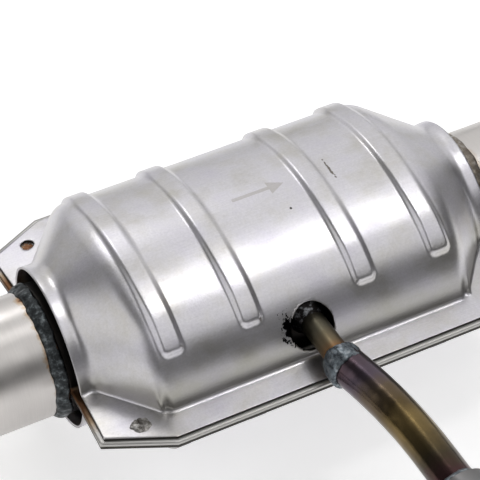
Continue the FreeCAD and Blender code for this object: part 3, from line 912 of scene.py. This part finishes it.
def pipe_steel(tree, where):
    """Drawn stainless tube: satin, polished round, with straw and rust tints beside the weld."""
    centred = from_middle(tree, where)
    x = add(tree, "ShaderNodeSeparateXYZ", links={0: centred})
    out = add(tree, MATH, {"operation": "ABSOLUTE"}, {0: x})
    rings = add(tree, "ShaderNodeMapping", links={"Vector": centred, "Scale": (2200, 60, 60)})
    lines = add(tree, NOISE, links={"Vector": rings, "Scale": 1.0, "Detail": 3.0})
    patches = add(tree, NOISE, links={"Vector": centred, "Scale": 70.0, "Detail": 4.0, "Roughness": 0.65})
    uneven = add(tree, MATH, {"operation": "MULTIPLY_ADD"}, {0: patches, 1: -0.018, 2: out})
    near = add(
        tree, MAP_RANGE,
        links={"Value": uneven, "From Min": 0.1085, "From Max": 0.1128, "To Min": 1.0, "To Max": 0.0},
    )
    side = add(
        tree, MAP_RANGE, links={"Value": x, "From Min": -0.1, "From Max": 0.1, "To Min": 1.0, "To Max": 0.45},
    )
    heat = add(tree, MATH, {"operation": "MULTIPLY"}, {0: near, 1: side})
    plain = bpy.context.scene.converter_finish.pipe
    tints = ((0.0, plain), (0.4, linear("#BFAF9C")), (0.8, linear("#B08C6E")), (1.0, linear("#6A5345")))
    tint = add(tree, "ShaderNodeValToRGB", {"stops": tints}, {"Fac": heat})
    light = add(tree, MAP_RANGE, links={**NOISE_SPAN, "Value": lines, "To Min": 0.96, "To Max": 1.02})
    tone = add(tree, VECTOR_MATH, {"operation": "SCALE"}, {0: tint, "Scale": light})
    dull = add(tree, MAP_RANGE, links={**NOISE_SPAN, "Value": patches, "To Min": 0.3, "To Max": 0.42})
    rise = add(tree, "ShaderNodeBump", links={"Strength": 0.1, "Distance": 0.0001, "Height": lines})
    return add(
        tree, "ShaderNodeBsdfPrincipled",
        links={"Base Color": tone, "Metallic": 1.0, "Roughness": dull, "Normal": rise},
    )


def weld_metal(tree, where, dark, mid, light, metallic, dull):
    """Weld metal: oxidised in the hollows of its ripples, brighter on the crests, where the light colour is
    in part painted glints.
    """
    crust = add(tree, NOISE, links={"Vector": where, "Scale": 330.0, "Detail": 5.0, "Roughness": 0.65})
    # the light stop is in part painted glints on the crests
    tone = add(
        tree, "ShaderNodeValToRGB", {"stops": ((0.32, dark), (0.52, mid), (0.68, light))}, {"Fac": crust},
    )
    rough = add(
        tree, MAP_RANGE, links={**NOISE_SPAN, "Value": crust, "To Min": dull + 0.1, "To Max": dull - 0.08},
    )
    rise = add(tree, "ShaderNodeBump", links={"Strength": 0.5, "Distance": 0.0004, "Height": crust})
    return add(
        tree, "ShaderNodeBsdfPrincipled",
        links={"Base Color": tone, "Metallic": metallic, "Roughness": rough, "Normal": rise},
    )


def tinted_tube(tree, where, stops, patch, dull):
    """Mild steel tube with the oxide colours that welding heat leaves, by distance from the body."""
    y = add(tree, "ShaderNodeSeparateXYZ", links={0: where}).outputs[1]
    patches = add(tree, NOISE, links={"Vector": where, "Scale": 95.0, "Detail": 5.0, "Roughness": 0.65})
    shifted = add(tree, MATH, {"operation": "MULTIPLY_ADD"}, {0: patches, 1: -patch, 2: y})
    share = add(
        tree, MAP_RANGE,
        links={"Value": shifted, "From Min": stops[0][0] - patch / 2, "From Max": stops[-1][0] - patch / 2},
    )
    low, high = stops[0][0], stops[-1][0]
    ramp = tuple(((place - low) / (high - low), shade) for place, shade in stops)
    tone = add(tree, "ShaderNodeValToRGB", {"stops": ramp}, {"Fac": share})
    rough = add(
        tree, MAP_RANGE, links={**NOISE_SPAN, "Value": patches, "To Min": dull - 0.06, "To Max": dull + 0.1},
    )
    rise = add(tree, "ShaderNodeBump", links={"Strength": 0.2, "Distance": 0.0002, "Height": patches})
    return add(
        tree, "ShaderNodeBsdfPrincipled",
        links={"Base Color": tone, "Metallic": 1.0, "Roughness": rough, "Normal": rise},
    )


def matt(tree, where, dark, light, scale, dull):
    """A matt, slightly uneven stuff, such as fired ceramic or felted fibre."""
    grain = add(tree, NOISE, links={"Vector": where, "Scale": scale, "Detail": 4.0})
    tone = add(tree, "ShaderNodeValToRGB", {"stops": ((0.35, dark), (0.65, light))}, {"Fac": grain})
    rise = add(tree, "ShaderNodeBump", links={"Strength": 0.5, "Distance": 0.0003, "Height": grain})
    return add(
        tree, "ShaderNodeBsdfPrincipled", links={"Base Color": tone, "Roughness": dull, "Normal": rise},
    )


# ---------------------------------------------------------------- operators


class CONVERTER_OT_shields(bpy.types.Operator):
    """Makes the two pressed heat shields"""

    bl_idname = "converter.shields"
    bl_label = "Heat shields"

    def execute(self, context):
        settle(make_shield_piece("heat_shield_upper", True), "upper_heat_shield")
        settle(make_shield_piece("heat_shield_lower", False), "lower_heat_shield")
        return {"FINISHED"}


class CONVERTER_OT_can(bpy.types.Operator):
    """Makes the two halves of the can"""

    bl_idname = "converter.can"
    bl_label = "Can"

    def execute(self, context):
        settle(make_can_piece("can_half_upper", True), "can_upper_half")
        settle(make_can_piece("can_half_lower", False), "can_lower_half")
        return {"FINISHED"}


class CONVERTER_OT_pipes(bpy.types.Operator):
    """Makes the inlet and outlet pipes"""

    bl_idname = "converter.pipes"
    bl_label = "Pipes"

    def execute(self, context):
        s, p = context.scene.converter_shield, context.scene.converter_pipe
        inner = p.radius - p.wall
        steel = finish("Drawn tube steel", pipe_steel)
        for name, way, node in (("pipe_inlet", -1, "inlet_pipe"), ("pipe_outlet", 1, "outlet_pipe")):
            corners = [(p.start, inner), (s.middle, inner), (s.middle, p.radius), (p.start, p.radius)]
            outline = rounded_outline(corners, 0.0005)
            piece = turned_piece(name, outline, (s.middle, 0, 0), (way, 0, 0), 160, "pipe_steel", steel)
            settle(piece, node)
        return {"FINISHED"}


class CONVERTER_OT_pipe_welds(bpy.types.Operator):
    """Makes the lumpy weld between each pipe and the can's neck"""

    bl_idname = "converter.pipe_welds"
    bl_label = "Pipe welds"

    def execute(self, context):
        s, c, p = context.scene.converter_shield, context.scene.converter_can, context.scene.converter_pipe
        shade = context.scene.converter_finish.pipe_weld
        oxidised = finish(
            "Oxidised weld metal", weld_metal, linear("#1D1F20"), shade, linear("#7A8184"), 0.8, 0.48,
        )
        stained = finish(
            "Stained weld metal", weld_metal, linear("#6A6055"), linear("#8C847A"), linear("#ABA7A2"), 1.0,
            0.45,
        )
        tree = shared_tree("Weld ripples", weld_tree)
        for name, way, node, seed, metal, share in (
            ("weld_inlet", -1, "inlet_pipe_weld", 3.0, oxidised, 1.0),
            ("weld_outlet", 1, "outlet_pipe_weld", 8.0, stained, 0.55),
        ):
            start, width = c.end, p.weld_width
            corners = [(start, p.radius), (start + width, p.radius)]
            crest = share * (p.weld_rise - 0.0012)
            for k in range(7, -1, -1):
                share_up = math.cos(k / 8 * math.pi / 2) ** 0.6
                corners.append((start + width * k / 8, p.radius + crest * share_up))
            piece = turned_piece(name, corners, (s.middle, 0, 0), (way, 0, 0), 420, "weld_metal", metal)
            run_tree(piece, tree, {
                "Origin": (s.middle + way * (start + width / 2), 0, 0), "Axis": (1, 0, 0),
                "Inner Radius": p.radius,
                "Ripples": 44.0, "Ripple Height": 0.00012, "Chevron": 160000.0, "Lump Scale": 75.0,
                "Lump Height": 0.0048 * share, "Wander": 0.005 * share, "Seed": seed, "Material": metal,
            })
            settle(piece, node)
        return {"FINISHED"}


class CONVERTER_OT_bricks(bpy.types.Operator):
    """Makes the two ceramic bricks, and dresses their mats"""

    bl_idname = "converter.bricks"
    bl_label = "Bricks"

    def execute(self, context):
        s, c = context.scene.converter_shield, context.scene.converter_can
        ceramic = finish(
            "Fired cordierite", matt, linear("#A89C84"), context.scene.converter_finish.ceramic, 600.0, 0.9,
        )
        tree = shared_tree("Brick cells", brick_tree)
        for name, way, node in (("brick_front", -1, "front_brick"), ("brick_rear", 1, "rear_brick")):
            cells = self.cells(s, c, way, ceramic, tree)
            skin = self.skin(s, c, way, ceramic)
            piece = join_pieces([cells, skin], name)
            settle(piece, node)
        fibre = finish("Ceramic fibre mat", matt, linear("#B9B4AA"), linear("#DDD8CC"), 500.0, 0.95)
        for node in ("front_mat", "rear_mat"):
            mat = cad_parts[node]
            for place in mat.material_slots:
                place.material = fibre
        return {"FINISHED"}

    def cells(self, s, c, way, ceramic, tree):
        """One face for each cell at the middle of the brick's length, walls added both ways."""
        pitch = c.cell_pitch
        crown_z, crown_r, side_y, side_r, _ = oval_numbers(c.brick_half_width, c.brick_height, s.side_share)
        places, faces = [], []
        middle = s.middle + way * (c.brick_start + c.brick_length / 2)
        columns, rows = int(c.brick_half_width / pitch) + 1, int(c.brick_height / pitch) + 1
        for i in range(-columns, columns + 1):
            for j in range(-rows, rows + 1):
                y, z = i * pitch, j * pitch
                in_crown = math.hypot(y, abs(z) - crown_z) < crown_r - 0.001
                in_side = abs(y) < side_y or math.hypot(abs(y) - side_y, z) < side_r - 0.001
                if in_crown and in_side:
                    first = len(places)
                    half = pitch / 2
                    for step_y, step_z in ((-half, -half), (half, -half), (half, half), (-half, half)):
                        places.append((middle, y + step_y, z + step_z))
                    faces.append((first, first + 1, first + 2, first + 3))
        halves = []
        for side in (-1, 1):
            face = [(middle + side * c.brick_length / 2, q[1], q[2]) for q in places]
            half = new_piece("cells", face, faces, "cordierite", ceramic)
            face_out(half, side)
            run_tree(half, tree, {"Open Share": 0.84, "Depth": c.brick_length / 2, "Material": ceramic})
            graph = bpy.context.evaluated_depsgraph_get()
            half.data = bpy.data.meshes.new_from_object(half.evaluated_get(graph), depsgraph=graph)
            half.modifiers.clear()
            halves.append(half)
        joined = join_pieces(halves, "cells")
        work = bmesh.new()
        work.from_mesh(joined.data)
        bmesh.ops.remove_doubles(work, verts=work.verts, dist=0.00002)
        self.close_sides(work, middle)
        for face in work.faces:
            face.smooth = False
        work.to_mesh(joined.data)
        work.free()
        return joined

    def close_sides(self, work, middle):
        """Outer walls from one end of the block of cells to the other."""

        def across(vert):
            return round(vert.co.y, 5), round(vert.co.z, 5)

        far_rim = {across(v): v for v in work.verts if v.is_boundary and v.co.x > middle}
        near_rim = [edge for edge in work.edges if edge.is_boundary and edge.verts[0].co.x < middle]
        for edge in near_rim:
            loop = edge.link_loops[0]
            a, b = loop.vert, loop.link_loop_next.vert
            work.faces.new((b, a, far_rim[across(a)], far_rim[across(b)]))

    def skin(self, s, c, way, ceramic):
        """The brick's closed oval skin."""
        thick, corners = 0.002, 144
        crown_z, crown_r, side_y, side_r, split = oval_numbers(
            c.brick_half_width, c.brick_height, s.side_share,
        )
        ring = []
        for k in range(corners):
            a = 2 * math.pi * k / corners
            q = a % math.pi
            if q < split or q > math.pi - split:
                centre_y = math.copysign(side_y, math.cos(a))
                ring.append((centre_y + side_r * math.cos(a), side_r * math.sin(a), a))
            else:
                z = math.copysign(crown_z + crown_r * math.sin(q), math.pi - a)
                ring.append((crown_r * math.cos(a), z, a))
        near = s.middle + way * c.brick_start
        far = near + way * c.brick_length
        places, faces = [], []
        for y, z, a in ring:
            iy, iz = y - thick * math.cos(a), z - thick * math.sin(a)
            places += [(near, y, z), (far, y, z), (far, iy, iz), (near, iy, iz)]
        for k in range(corners):
            b, n = 4 * k, 4 * ((k + 1) % corners)
            for i in range(4):
                faces.append((b + i, b + (i + 1) % 4, n + (i + 1) % 4, n + i))
        return new_piece("skin", places, faces, "cordierite", ceramic)


def face_out(piece, side):
    """Turns a flat sheet's faces to look along X by the given sign."""
    if piece.data.polygons[0].normal.x * side < 0:
        piece.data.flip_normals()


class CONVERTER_OT_air(bpy.types.Operator):
    """Makes the air stub, the bent tube, its sleeve and their welds"""

    bl_idname = "converter.air"
    bl_label = "Air tube"

    def execute(self, context):
        scene = context.scene
        s, a, shades = scene.converter_shield, scene.converter_air, scene.converter_finish
        axis_x = s.middle + a.along
        stub_steel = finish("Straw-tinted stub", tinted_tube, (
            (-0.0985, linear("#6E4A36")), (-0.0900, linear("#85603F")), (-0.083, linear("#736650")),
            (-0.074, linear("#625D4E")), (-0.058, linear("#4A463E")),
        ), 0.004, 0.42)
        outline = rounded_outline([
            (a.stub_start, a.stub_radius - a.stub_wall), (a.stub_end, a.stub_radius - a.stub_wall),
            (a.stub_end, a.stub_radius), (a.stub_start, a.stub_radius),
        ], 0.0003)
        stub = turned_piece(
            "air_stub_tube", outline, (axis_x, 0, a.height), (0, -1, 0), 72, "stub_steel", stub_steel,
        )
        settle(stub, "air_stub")
        tube_steel = finish("Oxidised tube", tinted_tube, (
            (-0.202, linear("#322B2A")), (-0.184, linear("#4A3536")), (-0.172, linear("#463E30")),
            (-0.150, linear("#7A6844")), (-0.136, shades.tube_gold), (-0.124, linear("#64574A")),
            (-0.112, linear("#5A505A")), (-0.094, shades.tube_dark),
        ), 0.024, 0.18)
        path = tube_path(a)
        tube = swept_tube(
            "air_tube_bent", path, a.tube_radius, a.tube_radius - a.tube_wall, 80, "air_tube_steel",
            tube_steel,
        )
        settle(tube, "air_tube")
        end = path[-1][0]
        sleeve_steel = finish(
            "Coupling steel", tinted_tube, ((-0.215, linear("#8F9092")), (-0.18, linear("#6F6C6A"))), 0.006,
            0.4,
        )
        begin = -end.y - a.sleeve_lap
        step = begin + a.sleeve_lap
        socket = a.tube_radius + 0.0001
        outline = rounded_outline([
            (begin, socket), (step, socket), (step, a.mouth_radius), (step + a.mouth_length, a.mouth_radius),
            (step + a.mouth_length, a.sleeve_radius), (begin, a.sleeve_radius),
        ], 0.0004)
        sleeve = turned_piece(
            "coupling_sleeve", outline, (end.x, 0, a.height), (0, -1, 0), 96, "sleeve_steel", sleeve_steel,
        )
        settle(sleeve, "air_tube_sleeve")
        self.welds(context, axis_x, end, begin)
        return {"FINISHED"}

    def welds(self, context, axis_x, end, begin):
        a = context.scene.converter_air
        tree = shared_tree("Weld ripples", weld_tree)
        bright = finish(
            "Bright weld metal", weld_metal, linear("#33363A"), context.scene.converter_finish.weld_silver,
            linear("#A3A8AC"), 1.0, 0.42,
        )
        marks = {"Ripple Height": 0.00007, "Chevron": 90000.0, "Lump Scale": 210.0}
        first, last = a.tube_start - 0.0050, a.tube_start + 0.0075
        rise = a.tube_radius + 0.0004
        outline = [(first, a.stub_radius), (last, a.stub_radius), (last, a.tube_radius)]
        outline += [
            (last - 0.0012, rise), (last - 0.0045, rise + 0.0002), (first + 0.0050, rise),
            (first + 0.0027, rise - 0.0003), (first + 0.0014, a.tube_radius - 0.0008),
            (first + 0.0005, a.tube_radius - 0.0022),
        ]
        joint = turned_piece(
            "weld_joint", outline, (axis_x, 0, a.height), (0, -1, 0), 260, "collar_weld_metal", bright,
        )
        run_tree(joint, tree, {
            "Origin": (axis_x, -a.tube_start, a.height), "Axis": (0, -1, 0), "Inner Radius": a.stub_radius,
            "Ripples": 26.0,
            **marks, "Lump Height": 0.0022, "Wander": 0.004, "Seed": 5.0, "Material": bright,
        })
        settle(joint, "air_joint_weld")
        leg = 0.0036
        outline = [(begin, a.tube_radius), (begin, a.tube_radius + leg)]
        for k in range(1, 6):
            share_up = math.cos(k / 5 * math.pi / 2) ** 0.8
            outline.append((begin - leg * k / 5, a.tube_radius + (leg - 0.0002) * share_up))
        sleeve_weld = turned_piece(
            "weld_sleeve", outline, (end.x, 0, a.height), (0, -1, 0), 260, "collar_weld_metal", bright,
        )
        run_tree(sleeve_weld, tree, {
            "Origin": (end.x, -begin, a.height), "Axis": (0, -1, 0), "Inner Radius": a.tube_radius,
            "Ripples": 30.0,
            **marks, "Lump Height": 0.0020, "Wander": 0.003, "Seed": 11.0, "Material": bright,
        })
        settle(sleeve_weld, "air_sleeve_weld")


class CONVERTER_OT_small_welds(bpy.types.Operator):
    """Makes the plug welds in the flange and dresses the boss weld on the can"""

    bl_idname = "converter.small_welds"
    bl_label = "Small welds"

    def execute(self, context):
        shades = context.scene.converter_finish
        # near-black weld metal for the boss weld in the side hole, its sparse light crests in part painted
        # glints
        dark = finish(
            "Near-black weld metal", weld_metal, linear("#121213"), linear("#2A2726"), linear("#9A9CA0"), 1.0,
            0.34,
        )
        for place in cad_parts["air_boss_weld"].material_slots:
            place.material = dark
        silver = finish(
            "Plug weld metal", weld_metal, linear("#3E3A36"), linear("#94918D"), linear("#D6D4D2"), 1.0, 0.36,
        )
        rusty = finish(
            "Rusted plug", weld_metal, linear("#3A2A20"), shades.rust, linear("#BD9C7C"), 0.4, 0.65,
        )
        for name, sign, node in (
            ("plugs_upper", 1, "upper_plug_welds"), ("plugs_lower", -1, "lower_plug_welds"),
        ):
            plugs = []
            for way_x in (-1, 1):
                for way_y in (-1, 1):
                    sunk = sign > 0 and (way_x, way_y) == (-1, 1)
                    plugs.append(self.plug(context, way_x, way_y, sign, sunk, rusty if sunk else silver))
            piece = join_pieces(plugs, name)
            settle(piece, node)
        return {"FINISHED"}

    def plug(self, context, way_x, way_y, sign, sunk, metal):
        """A lumpy dome of weld metal, or a flat one sunk in its hole."""
        s = context.scene.converter_shield
        centre = Vector((s.middle + way_x * s.plug_x, way_y * s.plug_y, 0))
        bottom, top = s.flange_top - s.sheet, s.flange_top
        rings = [(0.0, 1.0), (0.25, 0.97), (0.5, 0.86), (0.75, 0.62), (0.92, 0.3), (1.0, 0.0)]
        reach = s.plug_sunk if sunk else s.plug_reach
        height, ragged = (-0.0008, 0.0) if sunk else (0.0012, 0.28)
        foot, under, around = 0.003, 0.0003, 40
        places, faces = [centre + Vector((0, 0, sign * (top + height)))], []
        for share, rise in rings[1:]:
            for k in range(around):
                turn = 2 * math.pi * k / around
                spoke = Vector((math.cos(turn), math.sin(turn), 0))
                rough = 1 + ragged * noise.noise(spoke * 1.7 + Vector((way_x, 0, way_y * 2.0 + sign)))
                lump = 0.0005 * noise.noise(spoke * share * 4 + Vector((0, 0, way_x + 3 * way_y)))
                z = top + height - 0.0005 * share + lump if sunk else top + height * rise - abs(lump) * rise
                out = spoke * reach * share * rough
                places.append(centre + out + Vector((0, 0, sign * z)))
        for k in range(around):
            turn = 2 * math.pi * k / around
            out = Vector((math.cos(turn), math.sin(turn), 0)) * foot
            places.append(centre + out + Vector((0, 0, sign * (bottom if sunk else top - under))))
        for k in range(around):
            faces.append((0, 1 + k, 1 + (k + 1) % around))
        for ring in range(5):
            a, b = 1 + ring * around, 1 + (ring + 1) * around
            for k in range(around):
                faces.append((a + k, b + k, b + (k + 1) % around, a + (k + 1) % around))
        faces.append(tuple(1 + 5 * around + k for k in range(around)))
        return new_piece("plug", places, faces, "plug_metal", metal)


class CONVERTER_OT_stage(bpy.types.Operator):
    """Makes the floor, the soft lights and the camera"""

    bl_idname = "converter.stage"
    bl_label = "Stage"

    def execute(self, context):
        scene = context.scene
        v = scene.converter_stage
        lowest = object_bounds()[0].z
        mesh = bpy.data.meshes.new("floor")
        mesh.from_pydata(
            [(-6, -6, lowest), (6, -6, lowest), (6, 6, lowest), (-6, 6, lowest)], [], [(0, 1, 2, 3)],
        )
        floor = bpy.data.objects.new("floor", mesh)
        scene.collection.objects.link(floor)
        mesh.materials.append(self.floor_paint(v.floor))
        floor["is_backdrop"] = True
        self.camera(scene, v)
        middle = Vector((scene.converter_shield.middle, 0, 0))
        # name, place from the part's middle, size, watts
        for name, place, size, power in (
            ("soft_back", (0.7, 1.6, 1.15), (4.0, 2.2), 20.0),
            ("soft_strip", (0.08, 1.23, 1.43), (0.3, 0.3), 2.4),
            ("soft_top", (0.4, 0.15, 1.7), (1.2, 1.2), 3.2),
            ("soft_key", (0.45, 0.0, 1.5), (0.24, 0.24), 2.1),
            ("soft_front", (0.3, -0.88, 1.3), (1.6, 0.9), 4.2),
            ("soft_left", (-1.6, -0.05, 0.85), (1.6, 1.6), 7.0),
        ):
            lamp = bpy.data.lights.new(name, "AREA")
            lamp.energy = power
            lamp.shape = "RECTANGLE"
            lamp.size, lamp.size_y = size
            holder = bpy.data.objects.new(name, lamp)
            scene.collection.objects.link(holder)
            holder.location = middle + Vector(place)
            holder.rotation_mode = "QUATERNION"
            holder.rotation_quaternion = (-Vector(place)).to_track_quat("-Z", "Y")
        self.sky(scene)
        scene.view_settings.view_transform = "Standard"
        return {"FINISHED"}

    def floor_paint(self, shade):
        """Matt white paper, plain and pale, clear from below so that the underside can be seen."""
        made, tree = new_material("Matt white paper")
        paper = add(tree, "ShaderNodeBsdfPrincipled", links={"Base Color": shade, "Roughness": 0.9})
        rays = add(tree, "ShaderNodeLightPath").outputs
        seen = add(tree, MATH, {"operation": "MAXIMUM"}, {0: rays["Is Camera Ray"], 1: rays["Is Glossy Ray"]})
        seen = add(tree, MATH, {"operation": "MAXIMUM"}, {0: seen, 1: rays["Is Transmission Ray"]})
        lift = add(tree, MATH, {"operation": "MULTIPLY"}, {0: seen, 1: 0.56})
        glow = add(tree, "ShaderNodeEmission", links={"Color": shade, "Strength": lift})
        lit = add(tree, "ShaderNodeAddShader", links={0: paper, 1: glow})
        clear = add(tree, "ShaderNodeBsdfTransparent")
        under = add(tree, "ShaderNodeNewGeometry").outputs["Backfacing"]
        sided = add(tree, "ShaderNodeMixShader", links={0: under, 1: lit, 2: clear})
        add(tree, "ShaderNodeOutputMaterial", links={"Surface": sided})
        return made

    def sky(self, scene):
        world = bpy.data.worlds.new("studio")
        world.use_nodes = True
        tree = world.node_tree
        tree.nodes.clear()
        glow = add(tree, "ShaderNodeBackground", links={"Color": linear("#FFFFFF"), "Strength": 0.14})
        add(tree, "ShaderNodeOutputWorld", links={"Surface": glow})
        scene.world = world

    def camera(self, scene, v):
        a, e = v.azimuth, v.elevation
        back = Vector((math.sin(a) * math.cos(e), -math.cos(a) * math.cos(e), math.sin(e)))
        level = Vector((math.cos(a), math.sin(a), 0))
        over = back.cross(level)
        right = level * math.cos(v.roll) + over * math.sin(v.roll)
        up = over * math.cos(v.roll) - level * math.sin(v.roll)
        lens = bpy.data.cameras.new("camera")
        lens.lens = v.lens
        lens.sensor_width = 36
        lens.clip_start = 0.05
        eye = bpy.data.objects.new("camera", lens)
        scene.collection.objects.link(eye)
        middle = Vector((scene.converter_shield.middle, 0, 0))
        place = middle + back * v.distance - right * v.side - up * v.rise
        eye.matrix_world = Matrix.Translation(place) @ Matrix((right, up, back)).transposed().to_4x4()
        scene.camera = eye


class CONVERTER_PT_panel(bpy.types.Panel):
    """Lists the converter's settings and its steps"""

    bl_idname = "CONVERTER_PT_panel"
    bl_label = "Catalytic converter"
    bl_space_type = "VIEW_3D"
    bl_region_type = "UI"
    bl_category = "Converter"

    def draw(self, context):
        for step in STEPS:
            self.layout.operator(step.bl_idname)
        for group in GROUPS:
            box = self.layout.box()
            values = getattr(context.scene, group)
            for name in GROUPS[group].__annotations__:
                box.prop(values, name)


GROUPS = {
    "converter_shield": ConverterShieldSizes,
    "converter_can": ConverterCanSizes,
    "converter_pipe": ConverterPipeSizes,
    "converter_air": ConverterAirSizes,
    "converter_finish": ConverterFinishes,
    "converter_stage": ConverterStageSizes,
}
STEPS = (
    CONVERTER_OT_shields,
    CONVERTER_OT_can,
    CONVERTER_OT_pipes,
    CONVERTER_OT_pipe_welds,
    CONVERTER_OT_bricks,
    CONVERTER_OT_air,
    CONVERTER_OT_small_welds,
    CONVERTER_OT_stage,
)


def register():
    for kind in (*GROUPS.values(), *STEPS, CONVERTER_PT_panel):
        bpy.utils.register_class(kind)
    for name, kind in GROUPS.items():
        setattr(bpy.types.Scene, name, PointerProperty(type=kind))


def unregister():
    for name in GROUPS:
        delattr(bpy.types.Scene, name)
    for kind in reversed((*GROUPS.values(), *STEPS, CONVERTER_PT_panel)):
        bpy.utils.unregister_class(kind)


def main():
    register()
    for step in STEPS:
        family, action = step.bl_idname.split(".")
        getattr(getattr(bpy.ops, family), action)()


if __name__ == "__main__":
    main()
